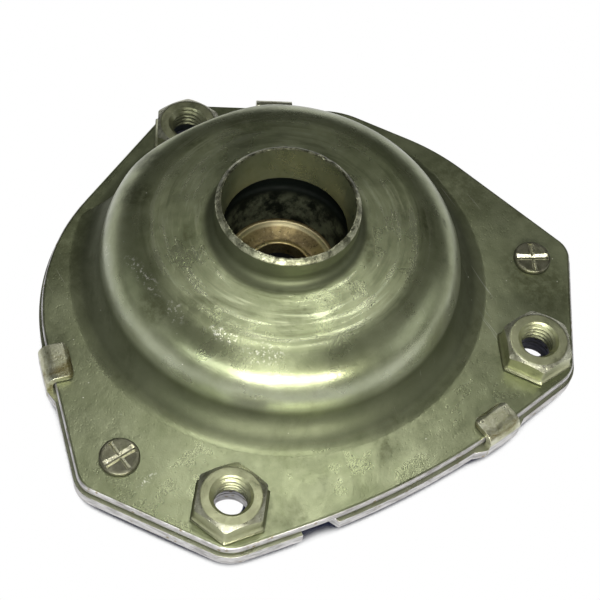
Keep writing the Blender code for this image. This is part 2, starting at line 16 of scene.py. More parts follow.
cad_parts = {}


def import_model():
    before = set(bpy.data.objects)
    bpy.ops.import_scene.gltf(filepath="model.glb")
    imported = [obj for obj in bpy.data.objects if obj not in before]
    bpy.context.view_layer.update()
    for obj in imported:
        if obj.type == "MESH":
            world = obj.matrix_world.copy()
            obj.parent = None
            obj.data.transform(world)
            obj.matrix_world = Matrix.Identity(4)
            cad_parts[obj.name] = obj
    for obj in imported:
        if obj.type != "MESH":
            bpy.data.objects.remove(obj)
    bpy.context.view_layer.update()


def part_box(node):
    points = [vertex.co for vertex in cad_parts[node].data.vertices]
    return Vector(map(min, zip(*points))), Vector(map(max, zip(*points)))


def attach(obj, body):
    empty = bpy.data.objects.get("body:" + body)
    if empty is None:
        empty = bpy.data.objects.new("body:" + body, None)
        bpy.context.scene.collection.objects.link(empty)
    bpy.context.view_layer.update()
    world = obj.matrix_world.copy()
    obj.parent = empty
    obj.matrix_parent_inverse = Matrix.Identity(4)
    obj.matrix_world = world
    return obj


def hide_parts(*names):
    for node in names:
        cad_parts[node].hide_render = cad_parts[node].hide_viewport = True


Object = bpy.types.Object
Point = tuple[float, float]
Colour = tuple[float, float, float]

LOG = logging.getLogger("strut_mount")

# Points nearer than this are merged, and a cutting body stands past what it cuts by OVERCUT.
MERGE = 0.000002
OVERCUT = 0.0020

# The gap between seated pieces, the heights of both sheets' faces and the neck's axis.
SEAT_GAP = 0.0003
PLATE_BASE = 0.0030
PLATE_TOP = 0.0066
FLANGE_BASE = 0.0069
FLANGE_TOP = 0.0099
NECK_AXIS_Y = 0.003955


class Side(Enum):
    """The three places round the dome where a nut or a tab can stand."""

    LEFT = "left"
    RIGHT = "right"
    BACK = "back"


# Shop tools


def take(item: Object) -> None:
    """Makes one object the only selected and active one.

    Args:
        item: the object to work on.
    """
    bpy.ops.object.select_all(action="DESELECT")
    item.select_set(True)
    bpy.context.view_layer.objects.active = item


def edit_all(item: Object) -> None:
    """Opens an object in edit mode with its whole mesh selected.

    Args:
        item: the object to edit.
    """
    take(item)
    bpy.ops.object.mode_set(mode="EDIT")
    bpy.ops.mesh.select_all(action="SELECT")


def close_edit() -> None:
    """Merges doubles, turns the faces outwards and leaves edit mode."""
    bpy.ops.mesh.select_all(action="SELECT")
    bpy.ops.mesh.remove_doubles(threshold=MERGE)
    bpy.ops.mesh.normals_make_consistent(inside=False)
    bpy.ops.object.mode_set(mode="OBJECT")


def ring(name: str, places: list[Vector], filled: bool) -> Object:
    """Adds a circle whose points are then put in their places.

    Args:
        name: the object's name.
        places: one place for each point, in order round the loop.
        filled: whether the loop gets a face.

    Returns:
        The new object, at the origin.
    """
    bpy.ops.object.select_all(action="DESELECT")
    fill = "NGON" if filled else "NOTHING"
    bpy.ops.mesh.primitive_circle_add(vertices=len(places), fill_type=fill, location=(0, 0, 0))
    item = bpy.context.object
    item.name = name
    item.data.name = name
    for vertex, place in zip(item.data.vertices, places):
        vertex.co = place
    return item


def spun(name: str, profile: list[Point], steps: int) -> Object:
    """Spins a closed profile once round the Z axis.

    Args:
        name: the object's name.
        profile: (radius, height) points; points on the axis are merged.
        steps: how many steps the turn has.

    Returns:
        The closed body.
    """
    item = ring(name, [Vector((radius, 0.0, height)) for radius, height in profile], False)
    edit_all(item)
    bpy.ops.mesh.spin(steps=steps, angle=2 * pi, center=(0, 0, 0), axis=(0, 0, 1))
    close_edit()
    return item


def sheet(name: str, outline: list[Point], low: float, high: float) -> Object:
    """Raises a flat outline into a sheet.

    Args:
        name: the object's name.
        outline: (x, y) points in order.
        low: height of its lower face.
        high: height of its upper face.

    Returns:
        The closed sheet.
    """
    item = ring(name, [Vector((x, y, low)) for x, y in outline], True)
    edit_all(item)
    bpy.ops.mesh.extrude_region_move(TRANSFORM_OT_translate={"value": (0.0, 0.0, high - low)})
    close_edit()
    return item


def finish_modifier(item: Object, kind: str, **settings: object) -> None:
    """Adds a modifier and applies it.

    Args:
        item: the object that gets it.
        kind: Blender's name for the modifier.
        **settings: the modifier's own settings.
    """
    take(item)
    modifier = item.modifiers.new(kind.lower(), kind)
    for key, value in settings.items():
        setattr(modifier, key, value)
    bpy.ops.object.modifier_apply(modifier=modifier.name)


def combine(item: Object, other: Object, operation: str) -> None:
    """Joins, cuts or intersects with another body, which is then thrown away.

    Args:
        item: the body that is kept.
        other: the body that shapes it.
        operation: UNION, DIFFERENCE or INTERSECT.
    """
    finish_modifier(item, "BOOLEAN", operation=operation, solver="EXACT", object=other)
    bpy.data.objects.remove(other, do_unlink=True)


def round_edges(item: Object, width: float, segments: int = 3, angle: float = 0.9) -> None:
    """Rounds an object's sharp edges.

    Args:
        item: the object.
        width: the rounding's width.
        segments: faces across the rounding.
        angle: edges sharper than this are rounded.
    """
    finish_modifier(
        item, "BEVEL", width=width, segments=segments, limit_method="ANGLE", angle_limit=angle
    )


def shade(item: Object, angle: float = 0.6) -> None:
    """Smooths the shading below an angle and lets large faces lead it.

    Args:
        item: the object.
        angle: edges sharper than this stay sharp.
    """
    take(item)
    bpy.ops.object.shade_smooth_by_angle(angle=angle)
    finish_modifier(item, "WEIGHTED_NORMAL", keep_sharp=True, weight=50)


def arc(centre: Point, radius: float, start: float, end: float, steps: int) -> list[Point]:
    """Points along an arc, both ends included.

    Args:
        centre: the arc's centre.
        radius: its radius.
        start: the first point's angle.
        end: the last point's angle.
        steps: how many steps it has.

    Returns:
        steps + 1 points.
    """
    points = []
    for i in range(steps + 1):
        angle = start + (end - start) * i / steps
        points.append((centre[0] + radius * cos(angle), centre[1] + radius * sin(angle)))
    return points


def circle(x: float, y: float, radius: float, steps: int = 48) -> list[Point]:
    """Points round a circle."""
    return arc((x, y), radius, 0.0, 2 * pi, steps)[:-1]


def hexagon(across_flats: float) -> list[Point]:
    """The six corners of a hexagon."""
    return circle(0.0, 0.0, across_flats / sqrt(3), 6)


def corner_frame(corners: list[tuple], i: int) -> tuple[Vector, Vector, Vector, float]:
    """A corner of an outline with the directions to its neighbours.

    Args:
        corners: x, y, radius of each corner.
        i: which corner.

    Returns:
        Its place, the unit directions to the last and the next corner, and the angle between.
    """
    here = Vector(corners[i][:2])
    before = (Vector(corners[i - 1][:2]) - here).normalized()
    after = (Vector(corners[(i + 1) % len(corners)][:2]) - here).normalized()
    return here, before, after, acos(max(-1.0, min(1.0, before.dot(after))))


def rounded_outline(corners: list[tuple], step: float) -> list[Point]:
    """Replaces each corner of a convex outline by an arc.

    Args:
        corners: x, y, radius of each corner.
        step: the largest turn of one step.

    Returns:
        The outline's points.
    """
    points = []
    for i, (_, _, radius) in enumerate(corners):
        here, before, after, opening = corner_frame(corners, i)
        turn = pi - opening
        centre = here + (before + after).normalized() * radius / sin(opening / 2)
        first = here + before * radius / tan(opening / 2) - centre
        start = atan2(first.y, first.x)
        steps = max(4, round(turn / step * (1 + radius / 0.02)))
        points += arc((centre.x, centre.y), radius, start, start + turn, steps)
    return points


def grown(corners: list[tuple], amount: float) -> list[tuple]:
    """The same corners for an outline that stands outside by an amount."""
    result = []
    for i, (_, _, radius) in enumerate(corners):
        here, before, after, opening = corner_frame(corners, i)
        place = here - (before + after).normalized() * amount / sin(opening / 2)
        result.append((place.x, place.y, radius + amount))
    return result


def spliced(points: list[Point], place: Vector, normal: Vector, detail: list[Point]) -> list[Point]:
    """Puts a detail into an outline.

    Args:
        points: the outline.
        place: the detail's origin on the edge.
        normal: the edge's outward normal there.
        detail: points along the edge and outwards from it.

    Returns:
        The outline with the detail in it.
    """
    along = Vector((-normal.y, normal.x))
    first, last = detail[0][0], detail[-1][0]
    offsets = [Vector(point) - place for point in points]
    near = [abs(offset.dot(normal)) < 0.010 for offset in offsets]
    ahead = [offset.dot(along) for offset in offsets]
    before = max((a, i) for i, a in enumerate(ahead) if near[i] and a <= first)[1]
    result = []
    for i, point in enumerate(points):
        if not (near[i] and first < ahead[i] < last):
            result.append(point)
        if i == before:
            result += [tuple(place + along * a + normal * out) for a, out in detail]
    return result


def press_flat(item: Object, limit: float, softness: float = 0.0016) -> None:
    """Presses what lies behind a plane into a softly rounded flat.

    Args:
        item: the object, turned about the origin.
        limit: how far back the flat stands.
        softness: how gently the flat begins.
    """
    for vertex in item.data.vertices:
        over = vertex.co.y - (limit - softness)
        if over > 0:
            vertex.co.y = limit - softness * exp(-over / softness)


def coat(item: Object, *finishes: object) -> None:
    """Gives an object its finishes, in the order of its material slots."""
    for finish in finishes:
        item.data.materials.append(finish.build())


def clear_picks(item: Object) -> None:
    """Leaves an object in object mode with nothing of its mesh selected."""
    edit_all(item)
    bpy.ops.mesh.select_all(action="DESELECT")
    bpy.ops.object.mode_set(mode="OBJECT")


def paint_faces(item: Object, slot: int, wanted: object) -> None:
    """Gives the faces that pass a test another of the object's finishes.

    Args:
        item: the object.
        slot: the number of the finish.
        wanted: a function of a face's centre and normal.
    """
    for face in item.data.polygons:
        if wanted(face.center, face.normal):
            face.material_index = slot


# Finishes


@dataclass(frozen=True)
class Ring:
    """A ring round the neck's axis, used for wear, grime, a film, painted shade and painted
    highlight.

    It comes in over the inner pair of radii and goes out over the outer pair, and the same
    between the low and the high pair of heights. Where it favours a side, spread says over
    which cosines of the angle from that side it comes in.
    """

    inner: Point
    outer: Point
    low: Point = (-0.002, -0.001)
    high: Point = (0.050, 0.051)
    strength: float = 0.8
    ragged: float = 0.0
    towards: float | None = None
    spread: Point = (0.0, 0.5)


# The shell's wear, as the photograph shows it; the last three stains, on the flange, are painted
# shade.
# A stain or a scuff has a centre, half sizes, a turn and a strength, in the frame's metres.
SHELL_STAINS_AND_SHADE = (
    ((-0.0213, 0.0414, 0.0300), (0.0070, 0.0050, 0.012), 0.0, 0.90),
    ((-0.0296, 0.0318, 0.0300), (0.0060, 0.0080, 0.012), 0.2, 0.90),
    ((-0.0071, 0.0382, 0.0310), (0.0065, 0.0050, 0.010), -0.4, 0.75),
    ((0.0082, 0.0371, 0.0316), (0.0090, 0.0035, 0.010), -0.5, 0.75),
    ((-0.0245, 0.0123, 0.0316), (0.0025, 0.0055, 0.010), -0.5, 0.75),
    ((0.0149, -0.0134, 0.0316), (0.0020, 0.0080, 0.010), -0.56, 0.83),
    ((0.0301, -0.0050, 0.0316), (0.0030, 0.0095, 0.010), -0.4, 0.75),
    ((0.0339, -0.0130, 0.0300), (0.0025, 0.0070, 0.010), -0.4, 0.98),
    ((0.0396, -0.0135, 0.0270), (0.0009, 0.0024, 0.008), -0.2, 1.00),
    ((-0.0418, -0.0010, 0.0285), (0.0045, 0.0075, 0.010), 0.1, 0.83),
    ((-0.0314, -0.0066, 0.0312), (0.0080, 0.0025, 0.010), -0.54, 0.60),
    # Painted shade: these three darken the flange towards its right and its upper left.
    ((0.0620, -0.0330, 0.0099), (0.0120, 0.0190, 0.006), 0.0, 0.83),
    ((0.0610, 0.0060, 0.0099), (0.0110, 0.0200, 0.006), 0.0, 0.68),
    ((-0.0461, 0.0400, 0.0099), (0.0130, 0.0240, 0.006), -0.7, 0.68),
)
SHELL_SCUFFS = (
    ((-0.0398, 0.0080, 0.0288), (0.0022, 0.0100, 0.008), 0.10, 1.00),
    ((-0.0310, -0.0175, 0.0290), (0.0060, 0.0024, 0.008), -0.94, 1.00),
    ((-0.0381, -0.0056, 0.0285), (0.0030, 0.0045, 0.008), 0.0, 0.80),
    ((-0.0245, -0.0265, 0.0285), (0.0070, 0.0035, 0.008), -0.6, 0.60),
    ((-0.0621, -0.0350, 0.0099), (0.0050, 0.0012, 0.004), 0.30, 0.80),
    ((-0.0440, 0.0250, 0.0250), (0.0030, 0.0050, 0.008), 0.2, 0.50),
)
SHELL_RUBS = (
    Ring((0.0205, 0.0235), (0.0350, 0.0410), low=(0.0270, 0.0300), high=(0.0330, 0.0350),
         strength=0.85),
)
# Painted shade, partly grime: dark rings in the dome's foot fillet, over the back half of the
# flange, on the neck's left side and round the neck's root, which darken what the lamps leave
# bright there.
SHELL_SHADE_AND_GRIME = (
    Ring((0.0478, 0.0490), (0.0530, 0.0560), high=(0.0165, 0.0210), strength=0.74),
    Ring((0.0560, 0.0660), (0.2000, 0.2100), high=(0.0102, 0.0106), strength=0.40, towards=75.0,
         spread=(-0.85, 0.60)),
    Ring((0.0170, 0.0189), (0.0206, 0.0230), low=(0.0300, 0.0310), high=(0.0396, 0.0402),
         strength=0.75, towards=172.0, spread=(-0.2, 0.6)),
    Ring((0.0170, 0.0189), (0.0206, 0.0230), low=(0.0300, 0.0310), high=(0.0350, 0.0370),
         strength=0.72, ragged=0.0004),
)
# A pale patchy film round the dome's lower shoulder and wall, partly painted light: it lightens the
# wall as side light would.
SHELL_FILM_AND_LIGHT = (
    Ring((0.0440, 0.0475), (0.0488, 0.0500), low=(0.0165, 0.0190), high=(0.0240, 0.0290),
         strength=0.28, ragged=0.0006),
)

# A painted highlight: the bright ring along the core's step.
CORE_HIGHLIGHT_RINGS = (Ring((0.0132, 0.0139), (0.0143, 0.0149), strength=0.85),)


class Bench:
    """A material on the bench: it adds nodes and wires them up."""

    def __init__(self, name: str) -> None:
        """Starts a material with an empty Principled shader.

        Args:
            name: the material's name.
        """
        self.material = bpy.data.materials.new(name)
        self.material.use_nodes = True
        self.tree = self.material.node_tree
        self.shader = self.tree.nodes["Principled BSDF"]
        self.place = self.add("ShaderNodeTexCoord", {}).outputs["Object"]

    def add(self, kind: str, sockets: dict, **settings: object) -> bpy.types.Node:
        """Adds one node.

        Args:
            kind: the node's type.
            sockets: its inputs by name or number; a socket is linked, a value is set.
            **settings: the node's own settings.

        Returns:
            The node.
        """
        node = self.tree.nodes.new(kind)
        for key, value in settings.items():
            setattr(node, key, value)
        self.wire(node, sockets)
        return node

    def wire(self, node: bpy.types.Node, sockets: dict) -> None:
        """Sets or links a node's inputs."""
        for key, value in sockets.items():
            if isinstance(value, bpy.types.NodeSocket):
                self.tree.links.new(value, node.inputs[key])
            elif isinstance(value, tuple) and len(value) == 3 and node.inputs[key].type == "RGBA":
                node.inputs[key].default_value = (*value, 1.0)
            else:
                node.inputs[key].default_value = value

    def noise(self, scale: float, detail: float = 4.0, rough: float = 0.55, vector: object = None,
              distortion: float = 0.0) -> bpy.types.NodeSocket:
        """A noise from 0 to 1 in object space."""
        sockets = {"Vector": vector or self.place, "Scale": scale, "Detail": detail,
                   "Roughness": rough, "Distortion": distortion}
        return self.add("ShaderNodeTexNoise", sockets).outputs["Fac"]

    def cells(self, scale: float) -> bpy.types.NodeSocket:
        """The distance to the nearest of scattered points."""
        sockets = {"Vector": self.place, "Scale": scale}
        return self.add("ShaderNodeTexVoronoi", sockets).outputs["Distance"]

    def stretched(self, scale: Colour, turn: float = 0.0) -> bpy.types.NodeSocket:
        """Object coordinates turned about Z and stretched."""
        sockets = {"Vector": self.place, "Scale": scale, "Rotation": (0.0, 0.0, turn)}
        return self.add("ShaderNodeMapping", sockets).outputs["Vector"]

    def band(self, value: object, low: float, high: float, start: float = 0.0,
             end: float = 1.0) -> bpy.types.NodeSocket:
        """Maps a value smoothly from one range to another."""
        sockets = {"Value": value, "From Min": low, "From Max": high, "To Min": start,
                   "To Max": end}
        node = self.add("ShaderNodeMapRange", sockets, interpolation_type="SMOOTHSTEP")
        return node.outputs["Result"]

    def math(self, operation: str, a: object, b: object = 0.0) -> bpy.types.NodeSocket:
        """One step of arithmetic."""
        return self.add("ShaderNodeMath", {0: a, 1: b}, operation=operation).outputs[0]

    def vector(self, operation: str, a: object,
               b: Colour = (0.0, 0.0, 0.0)) -> bpy.types.NodeSocket:
        """One step of vector arithmetic; a length or a dot product comes out as a number."""
        node = self.add("ShaderNodeVectorMath", {0: a, 1: b}, operation=operation)
        return node.outputs["Value" if operation in ("LENGTH", "DOT_PRODUCT") else "Vector"]

    def ramp(self, value: object, stops: list[tuple[float, Colour]]) -> bpy.types.NodeSocket:
        """Turns a value into a colour.

        Args:
            value: the value.
            stops: position and colour of each stop.

        Returns:
            The colour.
        """
        node = self.add("ShaderNodeValToRGB", {"Fac": value})
        elements = node.color_ramp.elements
        while len(elements) < len(stops):
            elements.new(0.5)
        for element, (position, colour) in zip(elements, stops):
            element.position = position
            element.color = (*colour, 1.0)
        return node.outputs["Color"]

    def mix(self, share: object, a: object, b: object) -> bpy.types.NodeSocket:
        """Mixes two colours."""
        node = self.add("ShaderNodeMix", {}, data_type="RGBA")
        self.wire(node, {0: share, 6: a, 7: b})
        return node.outputs[2]

    def mark(self, centre: Colour, reach: Colour, turn: float = 0.0) -> bpy.types.NodeSocket:
        """A soft oval mark: 1 at its centre and 0 from its border outwards.

        Args:
            centre: its centre.
            reach: its half sizes.
            turn: its turn about Z.

        Returns:
            The mask.
        """
        sockets = {"Vector": self.place, "Location": centre, "Rotation": (0.0, 0.0, turn),
                   "Scale": reach}
        local = self.add("ShaderNodeMapping", sockets, vector_type="TEXTURE").outputs["Vector"]
        return self.band(self.vector("LENGTH", local), 1.0, 0.35)

    def marks(self, marks: tuple) -> bpy.types.NodeSocket:
        """The strongest of several oval marks: centre, half sizes, turn and strength of each."""
        masks = [self.math("MULTIPLY", self.mark(*mark[:3]), mark[3]) for mark in marks]
        return self.strongest(masks)

    def off_axis(self) -> bpy.types.NodeSocket:
        """The level offset from the neck's axis."""
        where = self.add("ShaderNodeSeparateXYZ", {0: self.place}).outputs
        level = self.add("ShaderNodeCombineXYZ", {0: where[0], 1: where[1]})
        return self.vector("SUBTRACT", level.outputs[0], (0.0, NECK_AXIS_Y, 0.0))

    def around(self, ring: Ring) -> bpy.types.NodeSocket:
        """Where a ring lies round the neck's axis.

        Args:
            ring: the ring's radii, heights and favoured side.

        Returns:
            The mask, from 0 to the ring's strength.
        """
        height = self.add("ShaderNodeSeparateXYZ", {0: self.place}).outputs[2]
        offset = self.off_axis()
        far = self.vector("LENGTH", offset)
        if ring.ragged:
            torn = self.band(self.noise(70.0, 5.0, 0.6), 0.3, 0.7, -ring.ragged, ring.ragged)
            far = self.math("ADD", far, torn)
        mask = self.math("MULTIPLY", self.band(far, *ring.inner), self.band(far, *ring.outer[::-1]))
        mask = self.math("MULTIPLY", mask, self.band(height, *ring.low))
        mask = self.math("MULTIPLY", mask, self.band(height, *ring.high[::-1]))
        if ring.towards is not None:
            turn = radians(ring.towards)
            way = self.vector("DOT_PRODUCT", offset, (cos(turn), sin(turn), 0.0))
            share = self.math("DIVIDE", way, far)
            mask = self.math("MULTIPLY", mask, self.band(share, *ring.spread))
        return self.math("MULTIPLY", mask, ring.strength)

    def rings(self, rings: tuple) -> bpy.types.NodeSocket:
        """The strongest of several rings."""
        return self.strongest([self.around(ring) for ring in rings])

    def bump(self, height: object, depth: float, strength: float = 1.0,
             under: object = None) -> bpy.types.NodeSocket:
        """Relief from a height, in metres."""
        sockets = {"Height": height, "Distance": depth, "Strength": strength}
        if under is not None:
            sockets["Normal"] = under
        return self.add("ShaderNodeBump", sockets).outputs["Normal"]

    def strongest(self, masks: list) -> bpy.types.NodeSocket:
        """The strongest of several masks at each place."""
        result = masks[0]
        for mask in masks[1:]:
            result = self.math("MAXIMUM", result, mask)
        return result


@dataclass(frozen=True)
class PlatedSteel:
    """Dull zinc-plated steel: a mottled plating with stains, fine pitting, specks and scratches."""

    name: str
    light: Colour = (0.330, 0.355, 0.225)
    mid: Colour = (0.215, 0.240, 0.135)
    stain_and_shade: Colour = (0.100, 0.110, 0.055)
    metallic: float = 0.85
    smooth: float = 0.25
    rough: float = 0.35
    mottle_scale: float = 34.0
    stain_low: float = 0.50
    stain_high: float = 0.74
    grain: float = 0.000035
    specks: float = 0.045
    scratches: float = 0.60
    marks: tuple = ()
    pale_marks: tuple = ()
    rings: tuple = ()
    film_and_light: tuple = ()
    rubs: tuple = ()
    film_and_light_colour: Colour = (0.47, 0.49, 0.45)
    rubbed: Colour = (0.52, 0.55, 0.38)
    shade_and_grime: Colour = (0.045, 0.050, 0.030)
    fleck: Colour = (0.80, 0.80, 0.70)
    rub_pitch: float = 620.0
    rub_turns: float = 1.7

    def rub_lines(self, bench: Bench) -> bpy.types.NodeSocket:
        """Fine circular lines round the neck's axis."""
        offset = bench.off_axis()
        turn = bench.vector("NORMALIZE", offset)
        turn = bench.vector("MULTIPLY", turn, (self.rub_turns, self.rub_turns, 0.0))
        far = bench.math("MULTIPLY", bench.vector("LENGTH", offset), self.rub_pitch)
        out = bench.add("ShaderNodeCombineXYZ", {2: far}).outputs[0]
        return bench.noise(1.0, 3.0, 0.6, vector=bench.vector("ADD", turn, out))

    def cloud(self, bench: Bench) -> bpy.types.NodeSocket:
        """The plating's mottled colour."""
        broad = bench.noise(self.mottle_scale, 6.0, 0.62, distortion=0.6)
        fine = bench.noise(self.mottle_scale * 9, 5.0, 0.6)
        both = bench.math("ADD", bench.math("MULTIPLY", broad, 0.72),
                          bench.math("MULTIPLY", fine, 0.28))
        return bench.ramp(both, [(0.36, self.mid), (0.62, self.light)])

    def stains_and_shade(self, bench: Bench) -> bpy.types.NodeSocket:
        """Where the plating is stained dark, and where the shell's flange marks paint shade."""
        broad = bench.noise(self.mottle_scale * 0.55, 7.0, 0.68, distortion=0.9)
        mask = bench.band(broad, self.stain_low, self.stain_high)
        torn = bench.band(bench.noise(self.mottle_scale * 14, 4.0, 0.7), 0.35, 0.6, 0.45, 1.0)
        mask = bench.math("MULTIPLY", mask, torn)
        # The marks are stains, except three on the shell's flange that paint shade.
        if self.marks:
            ragged = bench.band(bench.noise(420.0, 5.0, 0.7), 0.30, 0.62, 0.25, 1.0)
            drawn = bench.math("MULTIPLY", bench.marks(self.marks), ragged)
            mask = bench.math("MAXIMUM", mask, drawn)
        return mask

    def flecks(self, bench: Bench) -> bpy.types.NodeSocket:
        """Small bright specks and thin scratches."""
        dots = bench.band(bench.cells(230.0), self.specks, self.specks * 0.55)
        some = bench.band(bench.noise(40.0, 3.0), 0.50, 0.60)
        masks = [bench.math("MULTIPLY", dots, some)]
        for turn, seed in ((0.5, 0.0), (-0.9, 7.0)):
            lines = bench.noise(1.0, 3.0, 0.5, vector=bench.stretched((1500.0, 36.0, 60.0), turn))
            where = bench.noise(26.0 + seed, 2.0)
            line = bench.math("MULTIPLY", bench.band(lines, 0.70, 0.76),
                              bench.band(where, 0.55, 0.68))
            masks.append(bench.math("MULTIPLY", line, self.scratches))
        if self.pale_marks:
            broken = bench.band(bench.noise(1100.0, 3.0, 0.7), 0.54, 0.62)
            masks.append(bench.math("MULTIPLY", bench.marks(self.pale_marks), broken))
        return bench.strongest(masks)

    def build(self) -> bpy.types.Material:
        """Makes the material.

        Returns:
            The material.
        """
        bench = Bench(self.name)
        stains_and_shade, flecks = self.stains_and_shade(bench), self.flecks(bench)
        colour = bench.mix(stains_and_shade, self.cloud(bench), self.stain_and_shade)
        gloss = bench.noise(self.mottle_scale * 2.5, 5.0, 0.6)
        gloss = bench.band(gloss, 0.3, 0.7, self.smooth, self.rough)
        gloss = bench.math("ADD", gloss, bench.math("MULTIPLY", stains_and_shade, 0.10))
        metallic = self.metallic
        if self.rubs:
            lines = self.rub_lines(bench)
            where = bench.rings(self.rubs)
            bright = bench.math("MULTIPLY", where, bench.band(lines, 0.50, 0.68))
            dark = bench.math("MULTIPLY", where, bench.band(lines, 0.46, 0.32))
            colour = bench.mix(bench.math("MULTIPLY", bright, 0.60), colour, self.rubbed)
            colour = bench.mix(bench.math("MULTIPLY", dark, 0.45), colour, self.stain_and_shade)
            gloss = bench.math("SUBTRACT", gloss, bench.math("MULTIPLY", bright, 0.06))
        # The film paints the wall paler and less metallic, partly as painted light.
        if self.film_and_light:
            patchy = bench.band(bench.noise(60.0, 5.0), 0.30, 0.62, 0.5, 1.0)
            film_and_light = bench.math("MULTIPLY", bench.rings(self.film_and_light), patchy)
            colour = bench.mix(film_and_light, colour, self.film_and_light_colour)
            metallic = bench.math("SUBTRACT", self.metallic, bench.math("MULTIPLY", film_and_light, 0.45))
        # The rings paint shade, partly grime, into the colour and roughness.
        if self.rings:
            shade_and_grime = bench.rings(self.rings)
            colour = bench.mix(shade_and_grime, colour, self.shade_and_grime)
            gloss = bench.math("ADD", gloss, bench.math("MULTIPLY", shade_and_grime, 0.30))
        colour = bench.mix(flecks, colour, self.fleck)
        grain = bench.noise(2600.0, 3.0, 0.6)
        pits = bench.band(bench.cells(900.0), 0.10, 0.30)
        relief = bench.bump(grain, self.grain, 0.6)
        relief = bench.bump(pits, self.grain * 0.8, 0.5, relief)
        waves = bench.noise(150.0, 3.0, 0.5)
        relief = bench.bump(waves, self.grain * 5, 0.5, relief)
        bench.wire(bench.shader, {"Base Color": colour, "Roughness": gloss, "Normal": relief,
                                  "Metallic": metallic})
        return bench.material


@dataclass(frozen=True)
class ShearedEdge:
    """A sheared sheet edge: silver with a lilac cast, torn in its lower half and freckled brown."""

    name: str = "sheared_edge"
    bright: Colour = (0.56, 0.55, 0.56)
    dull: Colour = (0.28, 0.27, 0.27)
    freckle: Colour = (0.20, 0.15, 0.07)

    def build(self) -> bpy.types.Material:
        """Makes the material."""
        bench = Bench(self.name)
        torn = bench.noise(1.0, 5.0, 0.7, vector=bench.stretched((240.0, 240.0, 900.0)))
        colour = bench.ramp(torn, [(0.38, self.dull), (0.60, self.bright)])
        dots = bench.band(bench.cells(520.0), 0.34, 0.16)
        dots = bench.math("MULTIPLY", dots, bench.band(bench.noise(120.0, 3.0), 0.46, 0.58))
        colour = bench.mix(dots, colour, self.freckle)
        relief = bench.bump(torn, 0.00010, 0.7)
        bench.wire(bench.shader, {"Base Color": colour, "Metallic": 0.75, "Normal": relief,
                                  "Roughness": bench.band(torn, 0.3, 0.7, 0.50, 0.30)})
        return bench.material


@dataclass(frozen=True)
class GoldZinc:
    """Yellow-passivated zinc: gold, brown and a breath of green, finely speckled."""

    name: str
    tones: tuple = ((0.28, (0.080, 0.060, 0.035)), (0.45, (0.26, 0.20, 0.10)),
                    (0.58, (0.42, 0.33, 0.16)), (0.72, (0.30, 0.21, 0.15)))
    scale: float = 190.0
    metallic: float = 0.80
    roughness: float = 0.42
    # Rings of painted highlight.
    bright: tuple = ()

    def build(self) -> bpy.types.Material:
        """Makes the material."""
        bench = Bench(self.name)
        cloud = bench.noise(self.scale, 7.0, 0.72, distortion=0.3)
        colour = bench.ramp(cloud, list(self.tones))
        dark = bench.band(bench.noise(self.scale * 5, 3.0, 0.6), 0.55, 0.68)
        colour = bench.mix(bench.math("MULTIPLY", dark, 0.6), colour, (0.05, 0.04, 0.02))
        spark = bench.band(bench.cells(800.0), 0.13, 0.06)
        colour = bench.mix(bench.math("MULTIPLY", spark, 0.7), colour, (0.75, 0.68, 0.45))
        # Painted highlight: the bright rings are mixed into the colour.
        if self.bright:
            colour = bench.mix(bench.rings(self.bright), colour, (0.90, 0.80, 0.50))
        relief = bench.bump(cloud, 0.00008, 0.6)
        gloss = bench.band(cloud, 0.3, 0.7, self.roughness + 0.12, self.roughness - 0.08)
        bench.wire(bench.shader, {"Base Color": colour, "Metallic": self.metallic,
                                  "Roughness": gloss, "Normal": relief})
        return bench.material


@dataclass(frozen=True)
class BlackRubber:
    """Moulded rubber, greenish black, with a dusty bloom that also paints light low in its mouth.
    """

    name: str = "black_rubber"
    base: Colour = (0.005, 0.008, 0.006)
    bloom_and_light: Colour = (0.150, 0.165, 0.110)
    bloom_and_light_heights: Point = (0.0234, 0.0206)

    def build(self) -> bpy.types.Material:
        """Makes the material."""
        bench = Bench(self.name)
        dust = bench.noise(240.0, 6.0, 0.7)
        height = bench.add("ShaderNodeSeparateXYZ", {0: bench.place}).outputs[2]
        # The bloom lightens the rubber low in its mouth: partly dust, partly painted light.
        share = bench.math("MULTIPLY", bench.band(dust, 0.40, 0.65),
                           bench.band(height, *self.bloom_and_light_heights))
        colour = bench.mix(share, self.base, self.bloom_and_light)
        relief = bench.bump(bench.noise(1500.0, 4.0), 0.00006, 0.6)
        bench.wire(bench.shader, {"Base Color": colour, "Normal": relief, "Metallic": 0.0,
                                  "Specular IOR Level": 0.2,
                                  "Roughness": bench.band(dust, 0.3, 0.7, 0.55, 0.80)})
        return bench.material


# Sub-assemblies


